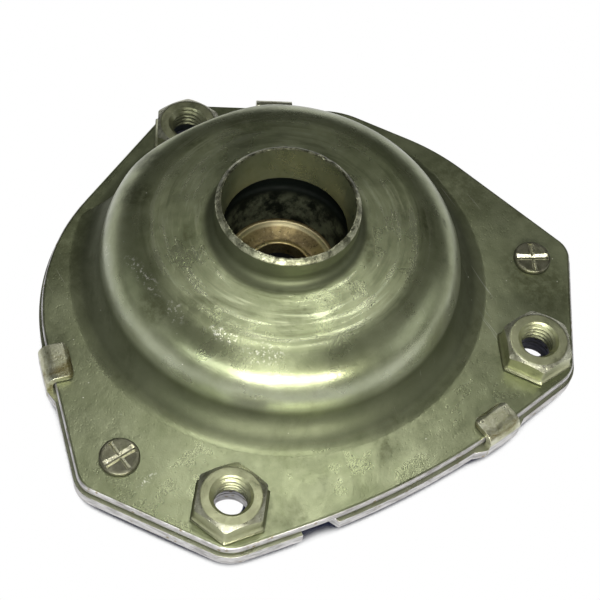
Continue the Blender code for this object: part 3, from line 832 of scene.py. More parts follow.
@dataclass
class FlangePlan:
    """The outline that the shell's flange and the closing plate share."""

    back: tuple = (0.0020, 0.0650, 0.0090)
    left: tuple = ((-0.0596, 0.0336, 0.0580), (-0.0768, -0.0317, 0.0070),
                   (-0.0532, -0.0653, 0.0090))
    front: tuple = (0.0, -0.0737, 0.2250)
    right: tuple = ((0.0532, -0.0653, 0.0090), (0.0768, -0.0317, 0.0070),
                    (0.0627, 0.0148, 0.0600), (0.0454, 0.0403, 0.0220))
    nut_x: float = 0.0470
    nut_y: float = -0.0549
    back_nut_y: float = 0.0522
    nut_turns: tuple = (-0.145, 0.066, 0.0)
    rivet_x: float = 0.0646
    rivet_y: float = -0.0300
    cross_turns: tuple = (0.096, -0.467)
    step: float = 0.05
    bolt_hole: float = 0.0052
    rivet_hole: float = 0.0037
    drill_top: float = 0.0140

    def corners(self) -> list[tuple]:
        """All corners, anticlockwise from the one behind the dome."""
        return [self.back, *self.left, self.front, *self.right]

    def nuts(self) -> dict[Side, tuple[float, float, float]]:
        """x, y and turn of the three nuts."""
        left, right, back = self.nut_turns
        return {
            Side.LEFT: (-self.nut_x, self.nut_y, left),
            Side.RIGHT: (self.nut_x, self.nut_y, right),
            Side.BACK: (0.0, self.back_nut_y, back),
        }

    def rivets(self) -> dict[Side, tuple[float, float, float]]:
        """x, y and turn of the two rivets."""
        left, right = self.cross_turns
        return {
            Side.LEFT: (-self.rivet_x, self.rivet_y, left),
            Side.RIGHT: (self.rivet_x, self.rivet_y, right),
        }

    def front_edge(self, x: float) -> tuple[Vector, Vector]:
        """The place on the bowed front edge at an x, and the edge's outward normal."""
        radius = self.front[2]
        slope = atan((self.right[0][1] - self.front[1]) / self.right[0][0])
        centre = Vector((0.0, self.front[1] + radius / cos(slope)))
        normal = Vector((x / radius, -sqrt(1 - (x / radius) ** 2)))
        return centre + normal * radius, normal

    def drill(self, item: Object) -> None:
        """Drills the bolt holes and the rivet holes through a sheet."""
        holes = [(place, self.bolt_hole) for place in self.nuts().values()]
        holes += [(place, self.rivet_hole) for place in self.rivets().values()]
        for (x, y, _), radius in holes:
            drill = sheet("drill", circle(x, y, radius), -OVERCUT, self.drill_top)
            combine(item, drill, "DIFFERENCE")


@dataclass
class UpperShell:
    """Flange, dome and neck, pressed from one sheet."""

    plan: FlangePlan
    sheet: float = 0.0030
    edge_round: float = 0.0009
    wall_radius: float = 0.0487
    foot_fillet: float = 0.0095
    shoulder_radius: float = 0.0150
    dome_height: float = 0.0214
    crown_rise: float = 0.0006
    neck_height: float = 0.0311
    neck_outer: float = 0.0190
    neck_mouth: float = 0.0173
    neck_throat: float = 0.0164
    root_fillet: float = 0.0026
    rim_land: float = 0.0006
    rim_slope: float = 0.0013
    throat_edge: float = 0.0012
    relief: float = 0.0421
    steps: int = 160
    nick: float = 0.00015
    worn_depth: float = 0.0016
    deep_nick: float = 0.0006
    deep_nick_side: float = 0.42

    def shoulder(self) -> Point:
        """The shoulder arc's centre in the profile."""
        radius = self.wall_radius - self.shoulder_radius
        return radius, FLANGE_TOP + self.dome_height - self.shoulder_radius

    def lean(self) -> float:
        """The angle at which the shoulder arc runs into the foot fillet."""
        rise = self.foot_fillet - self.dome_height + self.shoulder_radius
        return asin(rise / (self.shoulder_radius + self.foot_fillet))

    def foot(self) -> Point:
        """The foot fillet's centre, a hair low so that its arc cuts the flange."""
        reach = (self.shoulder_radius + self.foot_fillet) * cos(self.lean())
        return self.shoulder()[0] + reach, FLANGE_TOP + self.foot_fillet - 0.00003

    def skin(self) -> list[Point]:
        """The outer skin's profile from the rim down to inside the flange."""
        top = FLANGE_TOP + self.neck_height
        crown = FLANGE_TOP + self.dome_height + self.crown_rise
        root = (self.neck_outer + self.root_fillet, crown + self.root_fillet)
        inside = FLANGE_BASE + self.sheet / 2
        land = self.neck_mouth + self.rim_land
        points = [(0.0, top), (land - 0.0004, top), (land, top - 0.00006)]
        points += [(self.neck_outer - 0.0003, top - self.rim_slope * 0.6)]
        points += [(self.neck_outer - 0.00006, top - self.rim_slope * 0.85)]
        points += [(self.neck_outer, top - self.rim_slope)]
        points += [(self.neck_outer, root[1] + 0.0004)]
        points += arc(root, self.root_fillet, pi, 1.5 * pi, 10)
        points += arc(self.shoulder(), self.shoulder_radius, pi / 2, self.lean(), 28)
        points += arc(self.foot(), self.foot_fillet, pi + self.lean(), 1.5 * pi, 20)[1:]
        points += [(self.foot()[0], inside), (0.0, inside)]
        return points

    def hollow(self) -> list[Point]:
        """The inner skin's profile, from above the rim to below the flange."""
        top = FLANGE_TOP + self.neck_height
        ceiling = FLANGE_TOP + self.dome_height + self.crown_rise - self.sheet
        edge = (self.neck_throat + self.throat_edge, ceiling + self.throat_edge)
        points = [(0.0, top + OVERCUT), (self.neck_mouth + 0.0006, top + OVERCUT)]
        points += [(self.neck_mouth + 0.00022, top + 0.0001), (self.neck_mouth, top - 0.0004)]
        points += arc(edge, self.throat_edge, pi, 1.5 * pi, 6)
        points += arc(self.shoulder(), self.shoulder_radius - self.sheet, pi / 2, self.lean(), 16)
        radius = self.foot_fillet + self.sheet
        points += arc(self.foot(), radius, pi + self.lean(), 1.5 * pi, 12)[1:]
        points += [(self.foot()[0], FLANGE_BASE - OVERCUT), (0.0, FLANGE_BASE - OVERCUT)]
        return points

    def wear_rim(self, item: Object) -> None:
        """Batters the rim a little: shallow nicks and one deeper one."""
        top = FLANGE_TOP + self.neck_height
        for vertex in item.data.vertices:
            depth = top - vertex.co.z
            if depth > self.worn_depth or hypot(vertex.co.x, vertex.co.y) > self.neck_outer + 0.001:
                continue
            near = max(0.0, 1 - depth / self.worn_depth)
            place = Vector(vertex.co)
            chew = noise.noise(place * 420) * 0.6 + noise.noise(place * 1300)
            side = atan2(vertex.co.y, vertex.co.x)
            deep = exp(-(((side - self.deep_nick_side) / 0.035) ** 2))
            vertex.co.z -= near * self.nick * max(0.0, chew) + near * deep * self.deep_nick
            push = 1 + near * 0.00010 * chew / self.neck_outer
            vertex.co.x *= push
            vertex.co.y *= push

    def build(self) -> Object:
        """Shapes the shell.

        Returns:
            The shell, turned about the origin.
        """
        outline = rounded_outline(self.plan.corners(), self.plan.step)
        item = sheet("pressed_shell", outline, FLANGE_BASE, FLANGE_TOP)
        round_edges(item, self.edge_round, 5, 1.2)
        skin = spun("skin", self.skin(), self.steps)
        press_flat(skin, self.relief)
        combine(item, skin, "UNION")
        hollow = spun("hollow", self.hollow(), self.steps)
        press_flat(hollow, self.relief - self.sheet)
        combine(item, hollow, "DIFFERENCE")
        self.plan.drill(item)
        self.wear_rim(item)
        shade(item, 0.55)
        return item

    def dress(self, item: Object) -> None:
        """Gives the shell its plating with painted shade and light, its sheared edge and its worn
        rim with painted glints.
        """
        plated = PlatedSteel("shell_steel", marks=SHELL_STAINS_AND_SHADE, pale_marks=SHELL_SCUFFS,
                             rings=SHELL_SHADE_AND_GRIME, film_and_light=SHELL_FILM_AND_LIGHT, rubs=SHELL_RUBS)
        # The rim is bright worn metal, and its coarse, contrasty mottle paints glints on it.
        worn = PlatedSteel("worn_rim_and_glints", light=(0.46, 0.46, 0.33), mid=(0.11, 0.12, 0.07),
                           stain_and_shade=(0.05, 0.05, 0.03), metallic=0.9, smooth=0.24, rough=0.40,
                           mottle_scale=420.0, grain=0.00008, stain_low=0.48, stain_high=0.60)
        coat(item, plated, ShearedEdge(), worn)
        foot = self.foot()[0]
        rim = FLANGE_TOP + self.neck_height - self.rim_slope

        def sheared(centre: Vector, normal: Vector) -> bool:
            return hypot(centre.x, centre.y) > foot and abs(normal.z) < 0.75

        def rubbed(centre: Vector, normal: Vector) -> bool:
            return centre.z > rim - 0.0001

        paint_faces(item, 1, sheared)
        paint_faces(item, 2, rubbed)


@dataclass
class ClosingPlate:
    """The plate under the flange, with its collar, its folded tabs and its edge notch."""

    plan: FlangePlan
    sheet: float = 0.0036
    margin: float = 0.0008
    edge_round: float = 0.0005
    opening: float = 0.0270
    collar_sheet: float = 0.0030
    inner_bend: float = 0.0030
    outer_bend: float = 0.0015
    tab_width: float = 0.0104
    tab_sheet: float = 0.0020
    tab_reach: float = 0.0053
    crest: float = 0.0034
    foot: float = 0.0010
    clearance: float = 0.0004
    root_rise: float = 0.0002
    ear_reach: float = 0.0021
    ear_flank: float = 0.0030
    front_tab_x: float = 0.0255
    side_tab_y: float = 0.0018
    back_tab_x: float = 0.0280
    notch_x: float = -0.0290
    notch_length: float = 0.0100
    notch_depth: float = 0.0030
    notch_slope: float = 0.0020
    dome_foot: float = 0.0557
    tongue_round: float = 0.0016

    def tabs(self) -> list[tuple[Vector, Vector, float]]:
        """Each tab's place on the flange's edge, outward normal and reach over the flange."""
        corners = self.plan.corners()
        share = (corners[1][1] - self.side_tab_y) / (corners[1][1] - corners[2][1])
        side = self.straight_edge(corners[1], corners[2], share)
        share = (corners[-1][0] - self.back_tab_x) / (corners[-1][0] - corners[0][0])
        back = self.straight_edge(corners[-1], corners[0], share)
        room = back[0].dot(back[1]) - self.dome_foot
        return [
            (*self.plan.front_edge(self.front_tab_x), self.tab_reach),
            (*side, self.tab_reach),
            (*back, min(self.tab_reach, room + SEAT_GAP)),
        ]

    @staticmethod
    def straight_edge(first: tuple, last: tuple, share: float) -> tuple[Vector, Vector]:
        """The place at a share of the way between two corners, and the outward normal."""
        a, b = Vector(first[:2]), Vector(last[:2])
        along = (b - a).normalized()
        return a + (b - a) * share, Vector((along.y, -along.x))

    def outline(self) -> list[Point]:
        """The plate's outline with the tabs' ears and the notch."""
        points = rounded_outline(grown(self.plan.corners(), self.margin), self.plan.step)
        half = self.tab_width / 2 + self.clearance
        wide = half + self.ear_flank
        ear = [(-wide, self.margin), (-half, self.ear_reach), (half, self.ear_reach),
               (wide, self.margin)]
        for place, normal, _ in self.tabs():
            points = spliced(points, place, normal, ear)
        half, floor = self.notch_length / 2, self.margin - self.notch_depth
        notch = [(-half, self.margin), (-half, floor), (half - self.notch_slope, floor),
                 (half, self.margin)]
        return spliced(points, *self.plan.front_edge(self.notch_x), notch)

    def collar(self) -> Object:
        """The solid from which the collar is bored."""
        outer, bend = self.opening + self.collar_sheet, self.outer_bend
        high = PLATE_TOP - self.sheet / 3
        points = [(0.0, high), (outer + bend, high)]
        points += arc((outer + bend, PLATE_BASE - bend + 0.00003), bend, pi / 2, pi, 8)
        points += arc((outer - 0.0005, 0.0005), 0.0005, 0.0, -pi / 2, 4)
        points += [(0.0, 0.0)]
        return spun("collar", points, 128)

    def bore(self) -> Object:
        """The plate's opening, widened where the sheet bends down into the collar."""
        bend = self.inner_bend
        wide = self.opening + bend
        points = [(0.0, PLATE_TOP + OVERCUT), (wide, PLATE_TOP + OVERCUT)]
        points += arc((wide, PLATE_TOP - bend + 0.00003), bend, pi / 2, pi, 10)
        points += [(self.opening, -OVERCUT), (0.0, -OVERCUT)]
        return spun("bore", points, 128)

    def tab_section(self, reach: float) -> list[Point]:
        """The folded strip's section: distance outwards from the flange's edge, and height."""
        inner, root = self.clearance, PLATE_BASE + self.root_rise
        outer = inner + self.tab_sheet
        low = FLANGE_TOP + SEAT_GAP
        high = low + self.tab_sheet
        middle = PLATE_BASE + self.sheet * 0.7
        fold = max(0.0009, self.crest - self.tab_sheet)
        points = [(-0.0030, root), (outer - self.foot, root)]
        points += arc((outer - self.foot, root + self.foot), self.foot, -pi / 2, 0.0, 6)[1:]
        points += arc((outer - self.crest, high - self.crest), self.crest, 0.0, pi / 2, 14)
        if reach > self.crest - outer:
            points += [(-reach, high)]
        else:
            points[-1] = (-reach, high)
        points += [(-reach, low)]
        points += arc((inner - fold, low - fold), fold, pi / 2, 0.0, 8)
        return points + [(inner, middle), (-0.0030, middle)]

    def tab(self, place: Vector, normal: Vector, reach: float) -> Object:
        """One folded tab with a rounded tongue, stood across the flange's edge.

        Args:
            place: where it leaves the edge.
            normal: the edge's outward normal.
            reach: how far its tongue lies over the flange.

        Returns:
            The tab.
        """
        half = self.tab_width / 2
        item = sheet("tab", self.tab_section(reach), -half, half)
        clear_picks(item)
        for edge in item.data.edges:
            ends = [item.data.vertices[i].co for i in edge.vertices]
            upright = abs(ends[0].z - ends[1].z) < 1e-6
            edge.select = upright and all(end.x < -reach + 1e-5 for end in ends)
        bpy.ops.object.mode_set(mode="EDIT")
        bpy.ops.mesh.select_mode(type="EDGE")
        bpy.ops.mesh.bevel(offset=self.tongue_round, segments=6, affect="EDGES")
        bpy.ops.mesh.select_mode(type="VERT")
        close_edit()
        round_edges(item, 0.00028, 3, 0.8)
        frame = Matrix(((normal.x, 0, normal.y, place.x), (normal.y, 0, -normal.x, place.y),
                        (0, 1, 0, 0), (0, 0, 0, 1)))
        item.data.transform(frame)
        return item

    def build(self) -> Object:
        """Shapes the plate.

        Returns:
            The plate, about the origin.
        """
        item = sheet("plate_with_collar", self.outline(), PLATE_BASE, PLATE_TOP)
        round_edges(item, self.edge_round, 3, 1.2)
        for place in self.tabs():
            combine(item, self.tab(*place), "UNION")
        combine(item, self.collar(), "UNION")
        combine(item, self.bore(), "DIFFERENCE")
        self.plan.drill(item)
        shade(item, 0.55)
        return item

    def dress(self, item: Object) -> None:
        """Gives the plate its plating, its sheared edge and its rubbed tabs."""
        plated = PlatedSteel("plate_steel", light=(0.36, 0.375, 0.27), mid=(0.28, 0.295, 0.20))
        tabs = PlatedSteel("tab_steel", light=(0.60, 0.60, 0.48), mid=(0.30, 0.30, 0.17),
                           stain_and_shade=(0.17, 0.14, 0.055), mottle_scale=210.0, stain_low=0.50,
                           stain_high=0.66, smooth=0.26, rough=0.46, grain=0.00006)
        coat(item, plated, ShearedEdge("plate_edge"), tabs)

        def sheared(centre: Vector, normal: Vector) -> bool:
            return hypot(centre.x, centre.y) > 0.045 and abs(normal.z) < 0.75

        def folded(centre: Vector, normal: Vector) -> bool:
            return centre.z > PLATE_TOP + 0.0001 and normal.z > -0.5

        paint_faces(item, 1, sheared)
        paint_faces(item, 2, folded)


@dataclass
class WeldNut:
    """A hexagon weld nut with a flared foot, a chamfered crown and a cut thread."""

    across_flats: float = 0.0170
    height: float = 0.0062
    crown_setback: float = 0.0007
    chamfer_slope: float = 0.62
    lip: float = 0.0008
    thread_root: float = 0.0050
    thread_crest: float = 0.00425
    pitch: float = 0.0015
    mouth: float = 0.0055
    run_out: float = 0.0012
    thread_steps: int = 72
    foot: float = 0.0005
    flare: tuple = ((0.0008, 0.62), (0.0014, 0.24), (0.0024, 0.05))
    crown_round: float = 0.0004

    def body(self) -> Object:
        """The hexagon with its flared foot, built up loop by loop."""
        low = FLANGE_TOP + SEAT_GAP
        wide = self.across_flats + 2 * self.lip
        item = sheet("weld_nut", hexagon(wide), low, low + self.foot)
        clear_picks(item)
        for face in item.data.polygons:
            face.select = face.normal.z > 0.9
        bpy.ops.object.mode_set(mode="EDIT")
        bpy.ops.mesh.select_mode(type="FACE")
        at, before = self.foot, wide
        for level, share in (*self.flare, (self.height, 0.0)):
            across = self.across_flats + 2 * self.lip * share
            bpy.ops.mesh.extrude_region_move(
                TRANSFORM_OT_translate={"value": (0.0, 0.0, level - at)})
            size = across / before
            bpy.ops.transform.resize(value=(size, size, 1.0), center_override=(0.0, 0.0, 0.0))
            at, before = level, across
        bpy.ops.mesh.select_mode(type="VERT")
        close_edit()
        round_edges(item, 0.0005, 4, 0.9)
        return item

    def cap(self) -> Object:
        """What the chamfered crown leaves of the hexagon."""
        high = FLANGE_TOP + SEAT_GAP + self.height
        crown = self.across_flats / 2 - self.crown_setback
        wide = self.across_flats / sqrt(3) + 2 * self.lip
        drop = (wide - crown) * self.chamfer_slope
        soft = self.crown_round
        points = [(0.0, high), (crown - soft, high), (crown, high - 0.00006)]
        points += [(crown + soft, high - soft * self.chamfer_slope - 0.00002)]
        points += [(wide, high - drop), (wide, FLANGE_TOP - OVERCUT), (0.0, FLANGE_TOP - OVERCUT)]
        return spun("cap", points, 96)

    def thread(self) -> Object:
        """The screw-shaped core that is cut out of the nut."""
        low = FLANGE_TOP - self.run_out
        high = FLANGE_TOP + SEAT_GAP + self.height
        count = self.thread_steps
        thread_depth = self.thread_root - self.thread_crest
        rise = (high + self.run_out - low) / count
        wall = [(self.thread_crest, low + rise * i) for i in range(count + 1)]
        item = spun("thread", [(0.0, low), *wall, (0.0, high + self.run_out)], count)
        for vertex in item.data.vertices:
            radius = hypot(vertex.co.x, vertex.co.y)
            if radius < 0.001:
                continue
            turn = atan2(vertex.co.y, vertex.co.x) / (2 * pi)
            phase = ((vertex.co.z - low) / self.pitch - turn) % 1.0
            flank = max(0.0, 1 - abs(phase - 0.5) / 0.36)
            cut = self.thread_crest + thread_depth * min(1.0, flank * 1.25)
            cone = self.mouth - (high - vertex.co.z) * 0.9
            grow = max(cut, cone) / radius
            vertex.co.x *= grow
            vertex.co.y *= grow
        return item

    def build(self) -> Object:
        """Shapes one nut about the origin.

        Returns:
            The nut.
        """
        item = self.body()
        combine(item, self.cap(), "INTERSECT")
        round_edges(item, 0.00014, 2, 0.35)
        combine(item, self.thread(), "DIFFERENCE")
        shade(item, 0.75)
        return item

    def dress(self, item: Object) -> None:
        """Gives the nut its plating, with brighter rubbed chamfers."""
        plated = PlatedSteel("nut_steel", light=(0.41, 0.42, 0.27), mid=(0.31, 0.32, 0.20),
                             mottle_scale=120.0, smooth=0.30, rough=0.48, grain=0.00005)
        worn = PlatedSteel("nut_chamfer", light=(0.62, 0.62, 0.50), mid=(0.36, 0.36, 0.25),
                           mottle_scale=420.0, smooth=0.24, rough=0.40, grain=0.00008)
        coat(item, plated, worn)
        crown = self.across_flats / 2 - self.crown_setback

        def rubbed(centre: Vector, normal: Vector) -> bool:
            return hypot(centre.x, centre.y) > crown and 0.25 < normal.z < 0.97 and (
                centre.z > FLANGE_TOP + self.height * 0.5)

        paint_faces(item, 1, rubbed)


@dataclass
class StakedRivet:
    """A rivet head staked with a cross: one broad arm and one narrow arm."""

    head_radius: float = 0.0052
    head_height: float = 0.0010
    shank_radius: float = 0.0034
    broad: float = 0.0021
    narrow: float = 0.0012
    depth: float = 0.00075
    edge: float = 0.00055

    def groove(self, width: float, depth: float, turn: float) -> Object:
        """A tapered V groove across the head."""
        high = FLANGE_TOP + SEAT_GAP + self.head_height + 0.00001
        reach = self.head_radius - 0.0008
        outline = [(-width * 0.62, 0.0), (-width * 0.12, -depth), (width * 0.10, -depth),
                   (width * 0.5, 0.0)]
        item = ring("groove", [Vector((-reach, a, high + b)) for a, b in outline], True)
        edit_all(item)
        bpy.ops.mesh.extrude_region_move(TRANSFORM_OT_translate={"value": (2 * reach, 0.0, 0.0)})
        close_edit()
        lid = sheet("lid", [(-reach, -width * 0.62), (reach, -width * 0.62), (reach, width * 0.5),
                            (-reach, width * 0.5)], high - 0.000001, high + 0.001)
        combine(item, lid, "UNION")
        item.data.transform(Matrix.Rotation(turn, 4, "Z"))
        return item

    def build(self) -> Object:
        """Shapes one rivet about the origin.

        Returns:
            The rivet.
        """
        low = FLANGE_TOP + SEAT_GAP
        high = low + self.head_height
        edge = self.edge
        points = [(0.0, high - 0.00016), (self.head_radius * 0.55, high - 0.00012)]
        points += [(self.head_radius - 0.0013, high - 0.00004)]
        points += arc((self.head_radius - edge, high - edge), edge, pi / 2, 0.0, 6)
        points += [(self.head_radius, low), (self.shank_radius, low)]
        points += [(self.shank_radius, PLATE_BASE), (0.0, PLATE_BASE)]
        item = spun("staked_rivet", points, 72)
        combine(item, self.groove(self.broad, self.depth, 0.0), "DIFFERENCE")
        combine(item, self.groove(self.narrow, self.depth * 0.8, pi / 2), "DIFFERENCE")
        round_edges(item, 0.00009, 2, 0.5)
        shade(item, 0.7)
        return item

    def dress(self, item: Object) -> None:
        """Gives the rivet its plating, with a painted highlight on the flanks of the staked cross.
        """
        plated = PlatedSteel("rivet_steel", light=(0.22, 0.215, 0.160), mid=(0.12, 0.118, 0.080),
                             mottle_scale=260.0, smooth=0.28, rough=0.46, grain=0.00005)
        # Painted highlight: the groove flanks of the staked cross are painted pale.
        staked = PlatedSteel("staked_cross_highlight", light=(0.78, 0.77, 0.62), mid=(0.55, 0.54, 0.40),
                             mottle_scale=500.0, smooth=0.24, rough=0.36, grain=0.00005)
        coat(item, plated, staked)
        top = FLANGE_TOP + SEAT_GAP + self.head_height

        def pressed(centre: Vector, normal: Vector) -> bool:
            inside = hypot(centre.x, centre.y) < self.head_radius - 0.0006
            return inside and 0.2 < normal.z < 0.93 and centre.z > top - 0.0007

        paint_faces(item, 1, pressed)


@dataclass
class RubberCore:
    """The rubber element with the pressed core and the spacer sleeve that it carries."""

    shell: UpperShell
    plate: ClosingPlate
    relief: float = 0.0385
    mouth: float = 0.0172
    seat: float = 0.0152
    top: float = 0.0143
    contact: float = 0.0235
    edge: float = 0.0012
    lip_lap: float = 0.0040
    lip_rise: float = 0.0008
    core_sheet: float = 0.0030
    core_top: float = 0.0027
    core_radius: float = 0.0370
    core_edge: float = 0.0008
    step_radius: float = 0.0146
    step_slope: float = 0.0010
    step_break: float = 0.0009
    floor_radius: float = 0.0106
    floor: float = 0.0002
    sleeve_outer: float = 0.0094
    sleeve_bore: float = 0.0081
    proud: float = 0.0008
    below: float = 0.0008

    def rubber(self) -> Object:
        """The rubber that fills the dome round the core."""
        gap = SEAT_GAP
        shell, opening = self.shell, self.plate.opening
        ceiling = FLANGE_TOP + shell.dome_height - shell.sheet - gap
        wall = shell.wall_radius - shell.sheet - gap
        top, core_top = FLANGE_TOP + self.top, FLANGE_TOP + self.core_top
        core_base = core_top - self.core_sheet
        lip = opening - self.lip_lap
        points = arc((self.mouth + self.edge, top - self.edge), self.edge, pi, pi / 2, 8)
        points += [(self.contact - (ceiling - top) * 0.6, top), (self.contact, ceiling)]
        points += arc(shell.shoulder(), shell.shoulder_radius - shell.sheet - gap, pi / 2, 0.0, 14)
        points += [(wall, PLATE_TOP + gap), (opening, PLATE_TOP + gap)]
        points += [(lip, PLATE_TOP + gap + self.lip_rise), (lip, core_base - gap)]
        points += [(self.core_radius + gap, core_base - gap)]
        points += [(self.core_radius + gap, core_top + gap)]
        points += [(self.seat, core_top + gap)]
        item = spun("moulded_rubber", points, 128)
        press_flat(item, self.relief)
        shade(item, 0.6)
        coat(item, BlackRubber())
        return item

    def core(self) -> Object:
        """The pressed core with its step and dished floor."""
        top, floor = FLANGE_TOP + self.core_top, FLANGE_TOP + self.floor
        hole, edge, slope = self.sleeve_outer + SEAT_GAP, self.core_edge, self.step_slope
        points = [(hole, floor), (self.floor_radius - 0.0004, floor)]
        points += [(self.floor_radius + 0.0002, floor + 0.00015)]
        points += [(self.step_radius - slope, top - self.step_break)]
        points += arc((self.step_radius + edge / 4, top - edge), edge, 0.75 * pi, 0.5 * pi, 6)
        points += arc((self.core_radius - edge, top - edge), edge, pi / 2, 0.0, 5)
        points += [(self.core_radius, top - self.core_sheet)]
        points += [(self.step_radius + slope, top - self.core_sheet)]
        points += [(self.floor_radius + slope, floor - self.core_sheet)]
        points += [(hole, floor - self.core_sheet)]
        item = spun("pressed_core", points, 128)
        shade(item, 0.6)
        coat(item, GoldZinc("core_zinc", bright=CORE_HIGHLIGHT_RINGS))
        return item

    def sleeve(self) -> Object:
        """The spacer sleeve for the damper rod."""
        floor = FLANGE_TOP + self.floor
        top, low, edge = floor + self.proud, floor - self.core_sheet - self.below, 0.0004
        points = arc((self.sleeve_bore + edge, top - edge), edge, pi, pi / 2, 4)
        points += arc((self.sleeve_outer - edge, top - edge), edge, pi / 2, 0.0, 4)
        points += [(self.sleeve_outer, low), (self.sleeve_bore, low)]
        item = spun("rod_sleeve", points, 96)
        shade(item, 0.6)
        tones = ((0.30, (0.30, 0.22, 0.09)), (0.48, (0.52, 0.42, 0.20)), (0.62, (0.70, 0.60, 0.34)),
                 (0.75, (0.45, 0.33, 0.18)))
        coat(item, GoldZinc("sleeve_zinc", tones=tones, roughness=0.34))
        return item


# Stage


@dataclass
class Stage:
    """White floor, plain soft lamps and the camera of the photograph."""

    camera_place: tuple = (-0.137584, -0.175623, 0.342549)
    right: tuple = (0.851432, -0.516654, 0.090174)
    up: tuple = (0.394240, 0.743882, 0.539643)
    forward: tuple = (0.345888, 0.423919, -0.837051)
    lens: float = 88.13
    sensor: float = 36.0
    world_level: float = 0.03
    lamps: tuple = field(default=(
        ("front_window", -113.0, 27.0, 0.80, 0.68, 0.10, 6.4, (1.0, 0.98, 0.88)),
        ("side_window", -142.0, 27.0, 0.90, 0.90, 0.12, 2.6, (0.97, 1.0, 0.97)),
        ("arch_low", -125.0, 43.0, 0.80, 0.34, 0.30, 0.90, (1.0, 1.0, 0.94)),
        ("arch_mid", -125.0, 64.0, 0.80, 0.26, 0.30, 0.80, (1.0, 1.0, 0.94)),
        ("arch_top", -125.0, 91.0, 0.80, 0.30, 0.26, 1.10, (1.0, 1.0, 0.94)),
        ("left_fill", 155.0, 22.0, 0.80, 0.50, 0.30, 0.30, (0.96, 0.98, 1.0)),
        ("right_fill", -38.0, 22.0, 0.80, 0.50, 0.30, 0.50, (0.96, 0.98, 1.0)),
        ("ceiling_panel", 47.0, 66.0, 0.66, 0.11, 0.11, 0.32, (1.0, 1.0, 0.95)),
    ))
    # The floor's painted shadow line, painted dark disc under the collar and painted light patches
    # through the bolt holes.
    shadow_reach: float = 0.014
    shadow_colour: Colour = (0.014, 0.016, 0.034)
    shaded_well: Colour = (0.0, NECK_AXIS_Y, 0.0)
    shaded_well_reach: Colour = (0.034, 0.034, 0.010)
    shaded_well_colour: Colour = (0.004, 0.004, 0.004)
    floor_colour: Colour = (0.70, 0.70, 0.70)
    white: Colour = (1.0, 1.0, 1.0)
    lit_bore_patches: tuple = (((-0.0443, -0.0468, 0.0), (0.0048, 0.0044, 0.010)),
                         ((0.0533, -0.0465, 0.0), (0.0040, 0.0034, 0.010)))

    def floor(self) -> None:
        """A large white floor; camera, glossy and transmission rays see on it a painted shadow line
        under the object's edges, a painted dark disc under the collar and painted light through the
        two front bolt holes, and other rays see a plain diffuse floor.
        """
        bpy.ops.object.select_all(action="DESELECT")
        bpy.ops.mesh.primitive_plane_add(size=6.0, location=(0, 0, 0))
        item = bpy.context.object
        item.name = "floor"
        bench = Bench("white_floor")
        tree = bench.tree
        tree.nodes.remove(bench.shader)
        # Painted shadow: ambient occlusion turns the floor dark next to the object's edges.
        near = bench.add("ShaderNodeAmbientOcclusion", {"Distance": self.shadow_reach}, samples=24)
        shadow = bench.ramp(near.outputs["AO"], [(0.41, self.shadow_colour), (0.48, self.white)])
        # Painted shade: a near-black disc on the floor under the collar.
        shaded_well = bench.band(bench.mark(self.shaded_well, self.shaded_well_reach), 0.0, 0.1)
        shadow = bench.mix(shaded_well, shadow, self.shaded_well_colour)
        # Painted light: white patches where the floor is seen through the two front bolt holes.
        for centre, reach in self.lit_bore_patches:
            lit_patch = bench.band(bench.mark(centre, reach), 0.25, 0.40)
            shadow = bench.mix(lit_patch, shadow, self.white)
        seen = bench.add("ShaderNodeEmission", {"Color": shadow, "Strength": 1.0})
        lit = bench.add("ShaderNodeBsdfDiffuse", {"Color": self.floor_colour})
        path = bench.add("ShaderNodeLightPath", {}).outputs
        views = bench.strongest([path["Is Camera Ray"], path["Is Glossy Ray"],
                                 path["Is Transmission Ray"]])
        both = bench.add("ShaderNodeMixShader", {0: views, 1: lit.outputs[0],
                                                 2: seen.outputs[0]})
        output = tree.nodes["Material Output"]
        tree.links.new(both.outputs[0], output.inputs["Surface"])
        item.data.materials.append(bench.material)

    def world(self) -> None:
        """An even pale surrounding."""
        world = bpy.data.worlds.new("studio")
        bpy.context.scene.world = world
        world.use_nodes = True
        back = world.node_tree.nodes["Background"]
        back.inputs["Color"].default_value = (0.96, 1.0, 0.94, 1.0)
        back.inputs["Strength"].default_value = self.world_level

    def lamp(self, name: str, azimuth: float, elevation: float, far: float, width: float,
             height: float, power: float, colour: Colour) -> None:
        """One soft rectangular lamp, aimed at the part.

        Args:
            name: the lamp's name.
            azimuth: where it stands, in degrees from +X.
            elevation: how high, in degrees.
            far: its distance.
            width: its width.
            height: its height.
            power: its power in watts.
            colour: its colour.
        """
        data = bpy.data.lights.new(name, "AREA")
        data.shape = "RECTANGLE"
        data.size, data.size_y, data.energy, data.color = width, height, power, colour
        item = bpy.data.objects.new(name, data)
        bpy.context.scene.collection.objects.link(item)
        turn, lift = radians(azimuth), radians(elevation)
        way = Vector((cos(lift) * cos(turn), cos(lift) * sin(turn), sin(lift)))
        item.location = way * far + Vector((0.0, 0.0, 0.02))
        item.rotation_euler = way.to_track_quat("Z", "Y").to_euler()

    def camera(self) -> None:
        """The camera at the photograph's place."""
        data = bpy.data.cameras.new("camera")
        data.lens, data.sensor_width = self.lens, self.sensor
        data.clip_start, data.clip_end = 0.01, 20.0
        item = bpy.data.objects.new("camera", data)
        bpy.context.scene.collection.objects.link(item)
        axes = Matrix((self.right, self.up, tuple(-a for a in self.forward))).transposed()
        item.matrix_world = Matrix.Translation(self.camera_place) @ axes.to_4x4()
        bpy.context.scene.camera = item

    def build(self) -> None:
        """Sets the whole stage."""
        self.floor()
        self.world()
        for lamp in self.lamps:
            self.lamp(*lamp)
        self.camera()
        bpy.context.scene.view_settings.view_transform = "Standard"


# Assembly


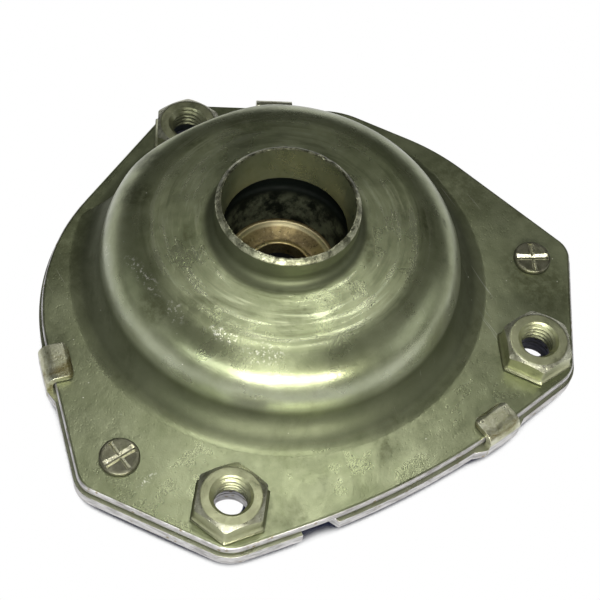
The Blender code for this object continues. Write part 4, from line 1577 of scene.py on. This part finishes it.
def settle(item: Object, name: str, node: str, place: Matrix) -> None:
    """Puts a finished piece in its place in the frame, instead of its node.

    Args:
        item: the piece, shaped about the origin.
        name: the piece's name.
        node: the node that it stands for.
        place: where it goes.
    """
    item.data.transform(place)
    item.name = name
    item.data.name = name
    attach(item, "root")
    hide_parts(node)
    LOG.info("%s: %d faces", name, len(item.data.polygons))


def copied(item: Object, name: str) -> Object:
    """A copy of a piece with its own mesh.

    Args:
        item: the piece.
        name: the copy's name.

    Returns:
        The copy.
    """
    twin = item.copy()
    twin.data = item.data.copy()
    twin.name = name
    bpy.context.scene.collection.objects.link(twin)
    return twin


def settle_copies(model: Object, names: tuple[str, str, str], places: dict, axis: Matrix) -> None:
    """Puts a copy of a piece in each of its places and throws the model away.

    Args:
        model: the piece, shaped about the origin.
        names: the start of the pieces' names, the start of their nodes' names, and a slot name that
            is not used.
        places: x, y and turn for each side.
        axis: the frame's place for the neck's axis.
    """
    name, node, slot = names
    for side, (x, y, turn) in places.items():
        item = copied(model, name + side.value)
        place = axis @ Matrix.Translation((x, y, 0.0)) @ Matrix.Rotation(turn, 4, "Z")
        settle(item, item.name, node + side.value, place)
    bpy.data.objects.remove(model, do_unlink=True)


def main() -> None:
    """Builds every piece in order and sets the stage."""
    logging.basicConfig(level=logging.INFO, format="%(name)s: %(message)s")
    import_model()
    low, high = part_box("spacer_sleeve")
    axis = Matrix.Translation(((low[0] + high[0]) / 2, (low[1] + high[1]) / 2, 0.0))
    plan = FlangePlan()

    shell = UpperShell(plan)
    item = shell.build()
    shell.dress(item)
    settle(item, "pressed_shell", "upper_shell", axis)

    plate = ClosingPlate(plan)
    item = plate.build()
    plate.dress(item)
    settle(item, "plate_with_collar", "closing_plate", axis)

    nut = WeldNut()
    model = nut.build()
    nut.dress(model)
    settle_copies(model, ("hexagon_nut_", "weld_nut_", "nut_steel"), plan.nuts(), axis)

    rivet = StakedRivet()
    model = rivet.build()
    rivet.dress(model)
    settle_copies(model, ("cross_rivet_", "staked_rivet_", "rivet_steel"), plan.rivets(), axis)

    inside = RubberCore(shell, plate)
    settle(inside.rubber(), "moulded_rubber", "rubber_element", axis)
    settle(inside.core(), "pressed_core", "core_plate", axis)
    settle(inside.sleeve(), "rod_sleeve", "spacer_sleeve", axis)

    Stage().build()


if __name__ == "__main__":
    main()
